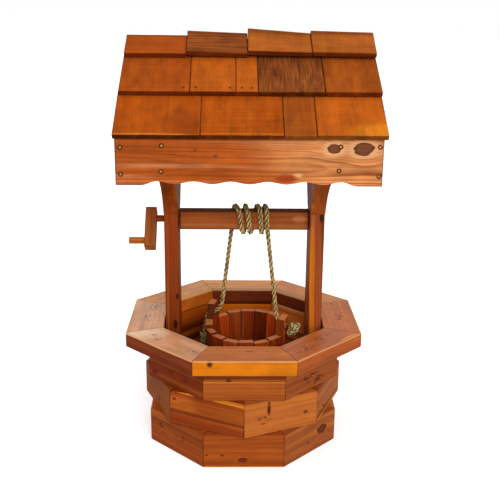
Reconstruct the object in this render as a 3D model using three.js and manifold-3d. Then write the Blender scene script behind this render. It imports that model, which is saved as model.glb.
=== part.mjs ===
// A garden wishing well planter in sealed cedar. An octagonal box of stacked, mitred boards carries a
// flat mitred rim. Two posts stand inside it and hold a gabled shingle roof on arms and knee brackets.
// Between the posts a roller turns with a hand crank, and a rope wound on it carries a stave bucket.
// Millimetres, +Z up, the front towards -Y. The origin is on the ground, under the middle of the box.

import * as THREE from 'three';
import { mergeVertices } from 'three/addons/utils/BufferGeometryUtils.js';
import Module from 'manifold-3d';

const wasm = await Module();
wasm.setup();

// Lumber
const lumber_thick = 38;
const lumber_wide = 91;
const board_thick = 19;
const easing = 3; // radius of the eased long edges
const dowel_across = 17;

// Clearances
const mitre_gap = 0.4; // between two mitred boards of one ring
const seat_gap = 0.3; // between pieces that rest on each other
const dowel_gap = 0.4; // around a dowel in its hole
const rope_gap = 0.6; // between the wound rope and the roller
const cut_overrun = 2; // how far a cutter reaches past the face it cuts
const weld = 0.001; // vertices closer than this are one vertex

// Planter box
const ring_across = 484; // over the flats of a ring
const ring_count = 3;
const rim_overhang = 55.5; // the rim's outer edge past the ring below it
const floor_boards = 3;
const floor_slot = 3; // drain slot between two floor boards

// Posts
const post_thick = 36;
const post_easing = 4;

// Roof
const roof_pitch = THREE.MathUtils.degToRad(35.35);
const ridge_height = 1034;
const roof_shift = 6; // of the roof to the right of the posts' middle, as it was put together
const eave_reach = 282; // from under the ridge to the shingles' lower edge
const eave_overhang = 13; // the shingles past the fascia
const roof_width = 600;
const gable_overhang = 5.5; // the shingles past the gable
const deck_thick = 9.5;
const shingle_thick = 12.7; // at the lower end
const shingle_tip = 6; // a shingle's thickness at its upper end
const shingle_courses = 3; // on each slope
const ridge_exposure = 72; // of the topmost course, down the slope
const shingle_shift = 2; // of the courses to the right of the fascias
const shingle_overlap = 21; // of a course over the one below it
const butt_overlap = 0.2; // shingles of one course, and staves, share this much with their neighbours
const fascia_height = 106;

// Scalloped lower edge of the fascia
const scallop_pitch = 82;
const scallop_depth = 6;
const scallop_waves = 5;
const scallop_ramp = 33; // from the last crest to the plain end
const scallop_end_drop = 3; // the plain ends below the troughs
const scallop_steps = 8; // points per wave

// Knee brackets
const knee_height = 135;
const knee_reach = 170; // from the post to the nose
const knee_foot = 5;
const knee_nose = 13;
const knee_hollow = 24; // depth of the concave lower edge under its chord
const knee_steps = 10;

// Roller and crank
const axle_drop = 160.3; // from the top of the posts
const roller_high = 49;
const roller_deep = 38;
const roller_easing = 4;
const roller_play = 2; // at each end, to the post
const dowel_depth = 40; // of each dowel in the roller
const pin_depth = 24; // of the plain pin in its post
const crank_standoff = 22;
const crank_thick = 27;
const crank_wide = 38;
const crank_reach = 62; // from the axle to the handle
const crank_head = 26; // from the axle's centre to the arm's upper end
const crank_tail = 21; // from the handle's centre to its lower end
const crank_corner = 6;
const crank_lean = THREE.MathUtils.degToRad(40); // of the arm, forward of straight down
const handle_length = 40;

// Bucket
const bucket_x = 10;
const bucket_turn = THREE.MathUtils.degToRad(-25);
const bucket_top = 283.5;
const bucket_height = 180;
const bucket_top_across = 218; // over the flats of the staves
const bucket_foot_across = 192;
const stave_count = 16;
const stave_thick = 18;
const bucket_base_thick = 19;
const bucket_base_lift = 4; // the base above the staves' feet
const ear_rise = 48;
const ear_top_share = 0.66; // of a stave's width, at the ear's top
const ear_hole_across = 14;
const ear_hole_drop = 24; // from the ear's top to the hole's centre
const ear_hole_slant = THREE.MathUtils.degToRad(30); // the hole runs down and outwards

// Rope
const rope_across = 12;
const knot_across = 34;
const knot_height = 44;
const tail_knot_across = 30;
const tail_knot_height = 40;
const right_knot_place = [129.2, -55.6, 295.5];
const left_knot_place = [-106.6, 54.4, 226];

// Heights of the stave tops against bucket_top, from the right ear round by the back
const stave_top_steps = [-4, 2, 7, 8, 7, 6, 5, 2, 4, 1, -2, -4, -5, -6, -5, -3];

// Shingles of each course as shares of the roof's width from its left end, with how high each board's four
// corners are lifted, in shares of the shingle's thickness: upper left, upper right, lower left, lower right.
const eave_course_shares = [
  [0, 0.317, 0, 0, 0, 0],
  [0.317, 0.621, 0, 0, 0.05, 0.05],
  [0.621, 0.741, 0, 0, 0.02, 0.02],
  [0.741, 1, 0, 0, 0.12, 0.12],
];
const middle_course_shares = [
  [0.004, 0.272, 0, 0, 0, 0],
  [0.272, 0.446, 0, 0, 0.05, 0.1],
  [0.446, 0.53, 0, 0, 0.1, 0.1],
  [0.53, 0.784, 0, 0, 0, 0.12],
  [0.784, 1, 0, 0, 0.12, 0.16],
];
const ridge_course_shares = [
  [0.007, 0.251, 0, 0, 0, 0],
  [0.251, 0.493, 0.7, 0.4, 0.5, 0.2],
  [0.493, 0.746, 1.15, 0.5, 0.75, 0.5],
  [0.746, 1, 0.9, 0.7, 0.6, 0.4],
];

// Route of the rope in the order it runs: along the roller, the places where it passes the foot of a loop
// and the top of a loop, then the two free ends. The ends run down inside the ears and out by their holes.
const loop_foot_x = [-31.5, -0.5, 17.5, 45.5, 59.5];
const loop_top_x = [-18.5, 4, 37.5, 55.5];
const left_route = [
  [-31.5, 26.2, 552],
  [-34.6, 26.8, 525.6],
  [-37.8, 27.4, 499.1],
  [-40.9, 28, 472.7],
  [-44, 28.6, 446.3],
  [-47.2, 29.2, 419.8],
  [-50.3, 29.8, 393.4],
  [-53.4, 30.4, 367],
  [-56.6, 31, 340.6],
  [-58.3, 31.9, 332.4],
  [-61.7, 33.4, 325],
  [-66.6, 35.7, 318.6],
  [-72.7, 38.5, 313.6],
  [-77.9, 41, 310.2],
  [-84.3, 44, 306.2],
  [-90.1, 46.7, 302.4],
  [-92.9, 48, 300.2],
  [-95.2, 49.1, 297.4],
  [-96.9, 49.8, 294.2],
  [-97.9, 50.3, 290.6],
  [-100.8, 51.7, 275.9],
  [-103.6, 53, 261.3],
  [-106.4, 54.3, 246.6],
];
const right_route = [
  [59.5, -26.2, 552],
  [62.8, -27.4, 523.6],
  [66.1, -28.5, 495.2],
  [69.4, -29.7, 466.8],
  [72.7, -30.8, 438.4],
  [76, -32, 410],
  [79.3, -33.1, 381.5],
  [82.7, -34.3, 353.1],
  [86, -35.4, 324.7],
  [86.7, -35.8, 321.4],
  [88.1, -36.4, 318.3],
  [90.1, -37.4, 315.6],
  [92.7, -38.5, 313.6],
  [98.8, -41.4, 309.6],
  [105.6, -44.6, 305.3],
  [112.4, -47.8, 301],
];

// Worked out from the sizes above
const ring_sides = 8;
const half_side = Math.PI / ring_sides;
const ring_step = lumber_wide + seat_gap;
const ring_outer = ring_across / 2;
const ring_inner = ring_outer - lumber_thick;
const rim_outer = ring_outer + rim_overhang;
const post_half_depth = lumber_wide / 2;
const post_corner = (post_half_depth - post_easing) * Math.sin(half_side) + post_easing;
const post_at_corner = (ring_inner - mitre_gap - post_corner) / Math.cos(half_side) + post_easing;
const post_outer = Math.min(ring_inner - mitre_gap, post_at_corner);
const post_inner = post_outer - post_thick;
const post_middle = (post_outer + post_inner) / 2;
const deck_ridge = ridge_height - shingle_thick / Math.cos(roof_pitch);
const eave_low = -alongSlope(eave_reach, shingle_thick + seat_gap);
const shingle_exposure = (eave_low - ridge_exposure) / (shingle_courses - 1);
const shingle_length = shingle_exposure + shingle_overlap;
const fascia_front = eave_reach - eave_overhang;
const fascia_back = fascia_front - board_thick;
const fascia_top = deck_ridge - fascia_front * Math.tan(roof_pitch) - seat_gap;
const gable_half = roof_width / 2 - gable_overhang;
const deck_under = deck_thick / Math.cos(roof_pitch) + seat_gap;
const arm_top = deck_ridge - fascia_back * Math.tan(roof_pitch) - deck_under;
const arm_foot = arm_top - lumber_wide;
const post_top = arm_foot - seat_gap;
const axle_height = post_top - axle_drop;
const rope_radius = rope_across / 2;
const dowel_radius = dowel_across / 2;
const roller_end = post_inner - roller_play;
const crank_inner = post_outer + crank_standoff;
const crank_outer = crank_inner + crank_thick;

const cedar = (name, colour, roughness) =>
  new THREE.MeshStandardMaterial({ name, color: colour, roughness, metalness: 0 });
const ring_cedar = cedar('ring_cedar', 0x9a4a1f, 0.45);
const rim_cedar = cedar('rim_cedar', 0xb0663a, 0.45);
const post_cedar = cedar('post_cedar', 0x8a3c1a, 0.45);
const fascia_cedar = cedar('fascia_cedar', 0xb5602a, 0.45);
const shingle_cedar = cedar('shingle_cedar', 0xb4571c, 0.6);
const roller_cedar = cedar('roller_cedar', 0x8c4726, 0.5);
const bucket_cedar = cedar('bucket_cedar', 0x7c3318, 0.5);
const dowel_wood = cedar('dowel_wood', 0xb2602f, 0.5);
const deck_wood = cedar('deck_wood', 0xb08a5c, 0.8);
const rope_fibre = cedar('rope_fibre', 0xa88b4c, 0.9);

// Returns the manifold solid of a closed three.js geometry.
function solidOf(geometry) {
  const bare = geometry.clone();
  bare.deleteAttribute('normal');
  bare.deleteAttribute('uv');
  const merged = mergeVertices(bare, weld);
  const vertProperties = Float32Array.from(merged.attributes.position.array);
  const triVerts = Uint32Array.from(merged.index.array);
  return new wasm.Manifold(new wasm.Mesh({ numProp: 3, vertProperties, triVerts }));
}

// Returns the three.js geometry of a manifold solid.
function geometryOf(solid) {
  const cut = solid.getMesh();
  const geometry = new THREE.BufferGeometry();
  geometry.setAttribute('position', new THREE.BufferAttribute(Float32Array.from(cut.vertProperties), 3));
  geometry.setIndex(new THREE.BufferAttribute(Uint32Array.from(cut.triVerts), 1));
  geometry.computeVertexNormals();
  return geometry;
}

// Takes each cutter out of a geometry.
function cutFrom(geometry, cutters) {
  let solid = solidOf(geometry);
  for (const cutter of cutters) {
    solid = solid.subtract(solidOf(cutter));
  }
  return geometryOf(solid);
}

// Joins geometries that touch or overlap into one.
function joined(geometries) {
  let solid = solidOf(geometries[0]);
  for (const geometry of geometries.slice(1)) {
    solid = solid.add(solidOf(geometry));
  }
  return geometryOf(solid);
}

// Extrudes a closed outline. The outline's x runs along `across` and its y along `up`.
function extruded(shape, depth, across, up) {
  const geometry = new THREE.ExtrudeGeometry(shape, { depth, bevelEnabled: false, curveSegments: 2 });
  const out = new THREE.Vector3().crossVectors(across, up);
  return geometry.applyMatrix4(new THREE.Matrix4().makeBasis(across, up, out));
}

const along_x = new THREE.Vector3(1, 0, 0);
const along_y = new THREE.Vector3(0, 1, 0);
const along_z = new THREE.Vector3(0, 0, 1);
const towards_front = new THREE.Vector3(0, -1, 0);

function outline(points) {
  return new THREE.Shape(points.map(([x, y]) => new THREE.Vector2(x, y)));
}

// A closed solid through rings of points, each ring with as many points as the first, flat at both ends.
function loft(rings) {
  const count = rings[0].length;
  const faces = [];
  for (let level = 0; level < rings.length - 1; level += 1) {
    for (let k = 0; k < count; k += 1) {
      const a = level * count + k;
      const b = level * count + ((k + 1) % count);
      faces.push(a, b, b + count, a, b + count, a + count);
    }
  }
  const last = (rings.length - 1) * count;
  for (let k = 1; k < count - 1; k += 1) {
    faces.push(0, k + 1, k, last, last + k, last + k + 1);
  }
  const geometry = new THREE.BufferGeometry();
  geometry.setAttribute('position', new THREE.Float32BufferAttribute(rings.flat(2), 3));
  geometry.setIndex(faces);
  return geometry;
}

// A rectangle from (x, y) with rounded corners, the section of eased lumber.
function easedSection(x, y, wide, high, radius) {
  const right = x + wide;
  const top = y + high;
  const quarter = Math.PI / 2;
  const shape = new THREE.Shape();
  shape.absarc(right - radius, y + radius, radius, -quarter, 0, false);
  shape.absarc(right - radius, top - radius, radius, 0, quarter, false);
  shape.absarc(x + radius, top - radius, radius, quarter, 2 * quarter, false);
  shape.absarc(x + radius, y + radius, radius, 2 * quarter, 3 * quarter, false);
  shape.closePath();
  return shape;
}

// A dowel or a round cutter along X, from x0 to x1.
function roundAlongX(radius, x0, x1) {
  const geometry = new THREE.CylinderGeometry(radius, radius, x1 - x0, 24);
  geometry.rotateZ(-Math.PI / 2);
  return geometry.translate((x0 + x1) / 2, 0, 0);
}

function piece(parent, name, geometry, material) {
  const mesh = new THREE.Mesh(geometry, material);
  mesh.name = name;
  parent.add(mesh);
  return mesh;
}

const well = new THREE.Group();

// A board of an octagonal ring: an eased section, its ends on the two mitre planes.
function mitredBoard(inner, wide, high) {
  const geometry = new THREE.ExtrudeGeometry(easedSection(inner, 0, wide, high, easing), {
    depth: 1,
    bevelEnabled: false,
    curveSegments: 2,
  });
  const places = geometry.attributes.position;
  for (let i = 0; i < places.count; i += 1) {
    const radial = places.getX(i);
    const half = radial * Math.tan(half_side) - mitre_gap / 2 / Math.cos(half_side);
    const end = places.getZ(i) > 0.5 ? -half : half;
    places.setXYZ(i, radial, end, places.getY(i));
  }
  return geometry;
}

function ringOfBoards(name, inner, wide, high, foot, turn) {
  const ring = new THREE.Group();
  ring.position.z = foot;
  well.add(ring);
  for (let side = 0; side < ring_sides; side += 1) {
    const board = piece(ring, `${name}_${side + 1}`, mitredBoard(inner, wide, high), ring_cedar);
    board.rotation.z = -Math.PI / 2 + turn + side * 2 * half_side;
  }
  return ring;
}

// The lowest and the middle ring, of eight boards on edge each. The middle one is turned by half a side.
ringOfBoards('lower_ring_board', ring_inner, lumber_thick, lumber_wide, 0, 0);
ringOfBoards('middle_ring_board', ring_inner, lumber_thick, lumber_wide, ring_step, half_side);

// The upper ring, its eight boards as one solid: an octagonal lathe of the same section.
function upperRing() {
  const section = easedSection(ring_inner, 0, lumber_thick, lumber_wide, easing).getPoints(2);
  const profile = section.map((p) => new THREE.Vector2(p.x / Math.cos(half_side), p.y));
  profile.push(profile[0].clone());
  const geometry = new THREE.LatheGeometry(profile, ring_sides, half_side, 2 * Math.PI);
  return geometry.rotateX(Math.PI / 2);
}
const upper_ring = piece(well, 'upper_ring', upperRing(), ring_cedar);
upper_ring.position.z = 2 * ring_step;

// The rim: eight boards laid flat, overhanging the rings inside and out.
const rim = ringOfBoards(
  'rim_board', rim_outer - lumber_wide, lumber_wide, lumber_thick, ring_count * ring_step, 0,
);
rim.children.forEach((board) => {
  board.material = rim_cedar;
});

// Three floor boards inside the lowest ring, with drain slots. The middle one ends between the posts.
const floor_half = ring_inner - mitre_gap;
const floor_wide = (2 * floor_half - (floor_boards - 1) * floor_slot) / floor_boards;

function floorHalfWidthAt(y) {
  return Math.min(floor_half, floor_half * Math.SQRT2 - Math.abs(y));
}

function floorBoard(index) {
  const y0 = -floor_half + index * (floor_wide + floor_slot);
  const y1 = y0 + floor_wide;
  const bend = floor_half * (Math.SQRT2 - 1);
  const stops = [y0, -bend, bend, y1].filter((y) => y >= y0 && y <= y1).sort((a, b) => a - b);
  const between_posts = y0 < post_half_depth && y1 > -post_half_depth;
  const reach = (y) => (between_posts ? post_inner - mitre_gap : floorHalfWidthAt(y));
  const right = stops.map((y) => [reach(y), y]);
  const left = stops.map((y) => [-reach(y), y]).reverse();
  return extruded(outline([...right, ...left]), board_thick, along_x, along_y);
}

for (let index = 0; index < floor_boards; index += 1) {
  piece(well, `floor_board_${index + 1}`, floorBoard(index), deck_wood);
}

// The posts, bored for the roller's dowels: the left one right through, the right one from inside.
function post(side) {
  const left = side < 0 ? -post_outer : post_inner;
  const section = easedSection(left, -post_half_depth, post_thick, lumber_wide, post_easing);
  const blank = extruded(section, post_top, along_x, along_y);
  const bore = dowel_radius + dowel_gap;
  const hole =
    side < 0
      ? roundAlongX(bore, -post_outer - cut_overrun, -post_inner + cut_overrun)
      : roundAlongX(bore, post_inner - cut_overrun, post_inner + pin_depth + seat_gap);
  hole.translate(0, 0, axle_height);
  return cutFrom(blank, [hole]);
}
piece(well, 'left_post', post(-1), post_cedar);
piece(well, 'right_post', post(1), post_cedar);

// The roof rests on two arms, one across the top of each post, from one fascia to the other.
const roof = new THREE.Group();
roof.position.x = roof_shift;
well.add(roof);

function roofArm() {
  const section = easedSection(-lumber_thick / 2, 0, lumber_thick, lumber_wide, easing);
  const length = 2 * (fascia_back - seat_gap);
  return extruded(section, length, along_x, along_z).translate(0, length / 2, 0);
}
for (const [name, side] of [['left', -1], ['right', 1]]) {
  piece(roof, `${name}_roof_arm`, roofArm(), post_cedar).position.set(side * post_middle, 0, arm_foot);
}

// A knee bracket in each corner of post and arm. Its lower edge is a hollow arc from foot to nose.
function knee() {
  const rise = knee_height - knee_nose;
  const chord = Math.hypot(knee_reach - knee_foot, rise);
  const radius = (chord * chord / 4 + knee_hollow * knee_hollow) / (2 * knee_hollow);
  const lean = Math.atan2(rise, knee_reach - knee_foot);
  const half_arc = Math.asin(chord / 2 / radius);
  const middle_x = (knee_reach + knee_foot) / 2 + (radius - knee_hollow) * Math.sin(lean);
  const middle_y = rise / 2 - (radius - knee_hollow) * Math.cos(lean);
  const arc = [];
  for (let i = 1; i < knee_steps; i += 1) {
    const angle = Math.PI / 2 + lean + half_arc - (2 * half_arc * i) / knee_steps;
    arc.push([middle_x + radius * Math.cos(angle), middle_y + radius * Math.sin(angle)]);
  }
  const nose = [[knee_reach, rise], [knee_reach, knee_height]];
  const edge = [[0, 0], [knee_foot, 0], ...arc, ...nose, [0, knee_height]];
  return extruded(outline(edge), post_thick, towards_front, along_z).translate(post_thick / 2, 0, 0);
}
for (const [face, turn] of [['front', 0], ['back', Math.PI]]) {
  for (const [name, side] of [['left', -1], ['right', 1]]) {
    const bracket = piece(well, `${face}_${name}_knee`, knee(), post_cedar);
    const towards = turn === 0 ? -1 : 1;
    bracket.rotation.z = turn;
    bracket.position.set(side * post_middle, towards * (post_half_depth + seat_gap), post_top - knee_height);
  }
}

// The fascias: plain ends and a row of shallow scallops between them.
function scallopHeight(x) {
  const crest = (scallop_waves * scallop_pitch) / 2;
  const reach = Math.abs(x);
  if (reach <= crest) {
    const wave = Math.cos((2 * Math.PI * (reach - crest)) / scallop_pitch);
    return scallop_end_drop + (scallop_depth * (1 + wave)) / 2;
  }
  const share = Math.min(1, (reach - crest) / scallop_ramp);
  return ((scallop_end_drop + scallop_depth) * (1 + Math.cos(Math.PI * share))) / 2;
}

function fascia() {
  const crest = (scallop_waves * scallop_pitch) / 2;
  const points = [[-gable_half, 0]];
  const last = crest + scallop_ramp;
  const count = Math.round((2 * last * scallop_steps) / scallop_pitch);
  for (let i = 0; i <= count; i += 1) {
    const x = -last + (2 * last * i) / count;
    points.push([x, scallopHeight(x)]);
  }
  points.push([gable_half, 0], [gable_half, fascia_height], [-gable_half, fascia_height]);
  return extruded(outline(points), board_thick, along_x, along_z);
}
const fascia_foot = fascia_top - fascia_height;
const front_fascia = piece(roof, 'front_fascia', fascia(), fascia_cedar);
front_fascia.position.set(0, -fascia_back, fascia_foot);
const back_fascia = piece(roof, 'back_fascia', fascia(), fascia_cedar);
back_fascia.rotation.z = Math.PI;
back_fascia.position.set(0, fascia_back, fascia_foot);

// The gables close the roof's ends, between the fascias and under the decks.
function gable() {
  const half = fascia_back - seat_gap;
  const peak = deck_ridge - deck_under - fascia_foot;
  const shoulder = peak - half * Math.tan(roof_pitch);
  const edge = [[-half, 0], [half, 0], [half, shoulder], [0, peak], [-half, shoulder]];
  return extruded(outline(edge), board_thick, along_y, along_z);
}
piece(roof, 'left_gable', gable(), fascia_cedar).position.set(-gable_half, 0, fascia_foot);
piece(roof, 'right_gable', gable(), fascia_cedar).position.set(gable_half - board_thick, 0, fascia_foot);

// Each slope is built in its own frame: X along the ridge, Y up the slope to the ridge, Z out of the roof.
// A plumb cut at the ridge keeps the two slopes apart.
function alongSlope(run, out) {
  return (out * Math.sin(roof_pitch) - run) / Math.cos(roof_pitch);
}

function deck() {
  const low = fascia_back - seat_gap;
  const edge = [
    [alongSlope(low, 0), 0],
    [alongSlope(low, -deck_thick), -deck_thick],
    [alongSlope(seat_gap, -deck_thick), -deck_thick],
    [alongSlope(seat_gap, 0), 0],
  ];
  return extruded(outline(edge), 2 * gable_half, along_y, along_z).translate(-gable_half, 0, 0);
}

// A course of shingles: each lies with its upper end on the deck and its lower end on the course below.
// The topmost course is cut plumb at the ridge and keeps its full thickness. The back's courses are built
// the other way round, so that a board and the one behind it meet at the ridge.
function course(shares, low, rest, towards) {
  const at_ridge = low < shingle_length;
  const high = shingle_length - low;
  const end = at_ridge ? shingle_thick : shingle_tip;
  const boards = shares.map(([from, to, high_left, high_right, low_left, low_right]) => {
    const sides = [[from, high_left, low_left, -1], [to, high_right, low_right, 1]];
    const ends = sides.map(([share, lift_high, lift_low, lap]) => {
      const x = towards * ((share - 0.5) * roof_width + shingle_shift + (lap * butt_overlap) / 2);
      const under_low = rest + lift_low * shingle_thick;
      const under_high = seat_gap + lift_high * shingle_thick;
      const section = [
        [-low, under_low + shingle_thick],
        [-low, under_low],
        [at_ridge ? alongSlope(seat_gap, under_high) : high, under_high],
        [at_ridge ? alongSlope(seat_gap, under_high + end) : high, under_high + end],
      ];
      return section.map(([y, z]) => [x, y, z]);
    });
    return loft(towards > 0 ? ends : ends.reverse());
  });
  return joined(boards);
}

// How high a course's lower edge lies when it rests on the course below: on its face or its upper corner.
function restOn(shares, rest, run) {
  const lift = (columns) => Math.max(...shares.flatMap((row) => columns.map((c) => row[c]))) * shingle_thick;
  const top_low = rest + lift([4, 5]) + shingle_thick;
  const top_high = seat_gap + lift([2, 3]) + shingle_tip;
  const on_face = top_high + ((top_low - top_high) * shingle_overlap) / shingle_length;
  const on_corner = (top_high * run) / (run - shingle_overlap);
  return Math.max(on_face, on_corner) + seat_gap;
}

const middle_low = eave_low - shingle_exposure;
const ridge_low = middle_low - shingle_exposure;
const middle_rest = restOn(eave_course_shares, seat_gap, shingle_length);
const ridge_rest = restOn(middle_course_shares, middle_rest, ridge_low);

for (const [face, turn] of [['front', 0], ['back', Math.PI]]) {
  const side = new THREE.Group();
  side.rotation.z = turn;
  roof.add(side);
  const slope = new THREE.Group();
  slope.rotation.x = roof_pitch;
  slope.position.z = deck_ridge;
  side.add(slope);
  const towards = turn === 0 ? 1 : -1;
  const eave = course(eave_course_shares, eave_low, seat_gap, towards);
  const middle = course(middle_course_shares, middle_low, middle_rest, towards);
  const ridge = course(ridge_course_shares, ridge_low, ridge_rest, towards);
  piece(slope, `${face}_roof_deck`, deck(), deck_wood);
  piece(slope, `${face}_eave_shingles`, eave, shingle_cedar);
  piece(slope, `${face}_middle_shingles`, middle, shingle_cedar);
  piece(slope, `${face}_ridge_shingles`, ridge, shingle_cedar);
}

// The roller with a dowel in each end. The left dowel is the crank's axle, the right one a plain pin.
const crank = new THREE.Group();
crank.position.z = axle_height;
well.add(crank);

function roller() {
  const section = easedSection(-roller_deep / 2, -roller_high / 2, roller_deep, roller_high, roller_easing);
  const blank = extruded(section, 2 * roller_end, along_y, along_z).translate(-roller_end, 0, 0);
  const socket = dowel_radius + dowel_gap;
  const left = roundAlongX(socket, -roller_end - cut_overrun, -roller_end + dowel_depth + seat_gap);
  const right = roundAlongX(socket, roller_end - dowel_depth - seat_gap, roller_end + cut_overrun);
  return cutFrom(blank, [left, right]);
}
piece(crank, 'roller', roller(), roller_cedar);
piece(crank, 'crank_axle', roundAlongX(dowel_radius, -crank_outer, dowel_depth - roller_end), dowel_wood);
const pin = roundAlongX(dowel_radius, roller_end - dowel_depth, post_inner + pin_depth);
piece(crank, 'roller_pin', pin, dowel_wood);

// The crank arm and its handle, leaning forward of straight down.
const arm = new THREE.Group();
arm.rotation.x = -crank_lean;
crank.add(arm);

function crankArm() {
  const long = crank_head + crank_reach + crank_tail;
  const foot = -crank_reach - crank_tail;
  const section = easedSection(-crank_wide / 2, foot, crank_wide, long, crank_corner);
  const blank = extruded(section, crank_thick, along_y, along_z).translate(-crank_outer, 0, 0);
  const hole = dowel_radius + dowel_gap;
  const axle_hole = roundAlongX(hole, -crank_outer - cut_overrun, -crank_inner + cut_overrun);
  const handle_hole = axle_hole.clone().translate(0, 0, -crank_reach);
  return cutFrom(blank, [axle_hole, handle_hole]);
}
piece(arm, 'crank_arm', crankArm(), post_cedar);
const handle = roundAlongX(dowel_radius, -crank_outer - handle_length, -crank_inner);
piece(arm, 'crank_handle', handle.translate(0, 0, -crank_reach), dowel_wood);

// A tube of even section along points, closed by a flat cap at each end.
function tube(points, radius, sides) {
  const count = points.length;
  const tangents = points.map((point, i) => {
    const before = points[Math.max(0, i - 1)];
    const after = points[Math.min(count - 1, i + 1)];
    return after.clone().sub(before).normalize();
  });
  const positions = [];
  let normal = new THREE.Vector3().crossVectors(tangents[0], along_x).normalize();
  points.forEach((point, i) => {
    normal = normal.clone().addScaledVector(tangents[i], -normal.dot(tangents[i])).normalize();
    const binormal = new THREE.Vector3().crossVectors(tangents[i], normal);
    for (let k = 0; k < sides; k += 1) {
      const angle = (2 * Math.PI * k) / sides;
      const rim_point = point.clone();
      rim_point.addScaledVector(normal, radius * Math.cos(angle));
      rim_point.addScaledVector(binormal, radius * Math.sin(angle));
      positions.push(rim_point.x, rim_point.y, rim_point.z);
    }
  });
  const faces = [];
  for (let i = 0; i < count - 1; i += 1) {
    for (let k = 0; k < sides; k += 1) {
      const a = i * sides + k;
      const b = i * sides + ((k + 1) % sides);
      faces.push(a, b, a + sides, b, b + sides, a + sides);
    }
  }
  const last = (count - 1) * sides;
  for (let k = 1; k < sides - 1; k += 1) {
    faces.push(0, k + 1, k, last, last + k, last + k + 1);
  }
  const geometry = new THREE.BufferGeometry();
  geometry.setAttribute('position', new THREE.Float32BufferAttribute(positions, 3));
  geometry.setIndex(faces);
  geometry.computeVertexNormals();
  return geometry;
}

const asPoint = ([x, y, z]) => new THREE.Vector3(x, y, z);

// The free ends of the rope, each a smooth curve through its route.
const strand_sides = 10;
const strand_steps = 34;
const left_ends = left_route.map(asPoint);
const right_ends = right_route.map(asPoint);
for (const [name, ends] of [['left_rope', left_ends], ['right_rope', right_ends]]) {
  const curve = new THREE.CatmullRomCurve3(ends);
  piece(well, name, tube(curve.getSpacedPoints(strand_steps), rope_radius, strand_sides), rope_fibre);
}

// The winding: the rope follows the roller's eased section, 24 steps a loop, and steps along it from foot
// to top to foot. Each end leaves straight, in line with its free end.
const loop_steps = 24;
const side_steps = loop_steps / 4;
const bend_radius = roller_easing + rope_gap + rope_radius;

function sectionPoint(step) {
  const side = Math.floor(step / side_steps) % 4;
  const stage = step % side_steps;
  const half_y = roller_deep / 2 - roller_easing;
  const half_z = roller_high / 2 - roller_easing;
  const corners = [[half_y, -half_z], [half_y, half_z], [-half_y, half_z], [-half_y, -half_z]];
  const from = corners[side];
  const to = corners[(side + 1) % 4];
  const facing = (side * Math.PI) / 2;
  if (stage < 2) {
    const share = (stage + 1) / 3;
    const y = from[0] + (to[0] - from[0]) * share + bend_radius * Math.cos(facing);
    const z = from[1] + (to[1] - from[1]) * share + bend_radius * Math.sin(facing);
    return [y, z];
  }
  const angle = facing + ((stage - 2) / 3) * (Math.PI / 2);
  return [to[0] + bend_radius * Math.cos(angle), to[1] + bend_radius * Math.sin(angle)];
}

function windingPoints() {
  const top_stage = side_steps + 1;
  const foot_stage = 3 * side_steps;
  const places = [[0, loop_foot_x[0]]];
  loop_top_x.forEach((x, turn) => {
    places.push([turn * loop_steps + top_stage, x]);
    places.push([turn * loop_steps + foot_stage, loop_foot_x[turn + 1]]);
  });
  const points = [];
  const last_step = (loop_top_x.length - 1) * loop_steps + 2 * side_steps + 1;
  for (let step = 0; step <= last_step; step += 1) {
    const next = places.findIndex((place) => place[0] >= step && place[0] > 0);
    const [from_step, from_x] = places[next - 1];
    const [to_step, to_x] = places[next];
    const x = from_x + ((to_x - from_x) * (step - from_step)) / (to_step - from_step);
    const [y, z] = sectionPoint(step);
    points.push(new THREE.Vector3(x, y, axle_height + z));
  }
  for (const [ends, where] of [[left_ends, 'start'], [right_ends, 'end']]) {
    const along = ends[0].clone().sub(ends[1]).normalize();
    const tip = ends[0].clone().addScaledVector(along, seat_gap);
    const run = tip.clone().addScaledVector(along, rope_across);
    if (where === 'start') points.unshift(tip, run);
    else points.push(run, tip);
  }
  return points;
}

// The least gap between two turns, measured on points along the winding at least a half turn apart.
function leastGap(points) {
  const fine = [];
  for (let i = 0; i < points.length - 1; i += 1) {
    for (let k = 0; k < 4; k += 1) {
      fine.push(points[i].clone().lerp(points[i + 1], k / 4));
    }
  }
  let least = Infinity;
  for (let i = 0; i < fine.length; i += 1) {
    for (let j = i + 2 * loop_steps; j < fine.length; j += 1) {
      least = Math.min(least, fine[i].distanceTo(fine[j]));
    }
  }
  return least - rope_across;
}

const winding_points = windingPoints();
console.log(`least gap of the rope winding to itself: ${leastGap(winding_points).toFixed(2)} mm`);
piece(well, 'rope_winding', tube(winding_points, rope_radius, 6), rope_fibre);

// The bucket: tapered staves nailed round a wooden base. Two opposite staves rise into ears for the rope.
const bucket = new THREE.Group();
bucket.position.set(bucket_x, 0, bucket_top - bucket_height);
bucket.rotation.z = bucket_turn;
well.add(bucket);
const half_stave = Math.PI / stave_count;
const stave_lean = (bucket_top_across - bucket_foot_across) / 2 / bucket_height;
const staveOuterAt = (z) => bucket_foot_across / 2 + stave_lean * z;
const stave_lap = butt_overlap / bucket_top_across;

function stave(index) {
  const ear = index % (stave_count / 2) === 0;
  const top = bucket_height + stave_top_steps[index] + (ear ? ear_rise : 0);
  const shoulder = [top - ear_rise, 1];
  const levels = ear ? [[0, 1], shoulder, [top, ear_top_share]] : [[0, 1], [top, 1]];
  const turn = 2 * index * half_stave;
  const rings = levels.map(([z, share]) => {
    const outer = staveOuterAt(z);
    const inner = outer - stave_thick;
    const corners = [[outer, -1], [outer, 1], [inner, 1], [inner, -1]];
    return corners.map(([radius, side]) => {
      const aside = side * share * radius * Math.tan(half_stave + stave_lap);
      const x = radius * Math.cos(turn) - aside * Math.sin(turn);
      const y = radius * Math.sin(turn) + aside * Math.cos(turn);
      return [x, y, z];
    });
  });
  return loft(rings);
}

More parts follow.
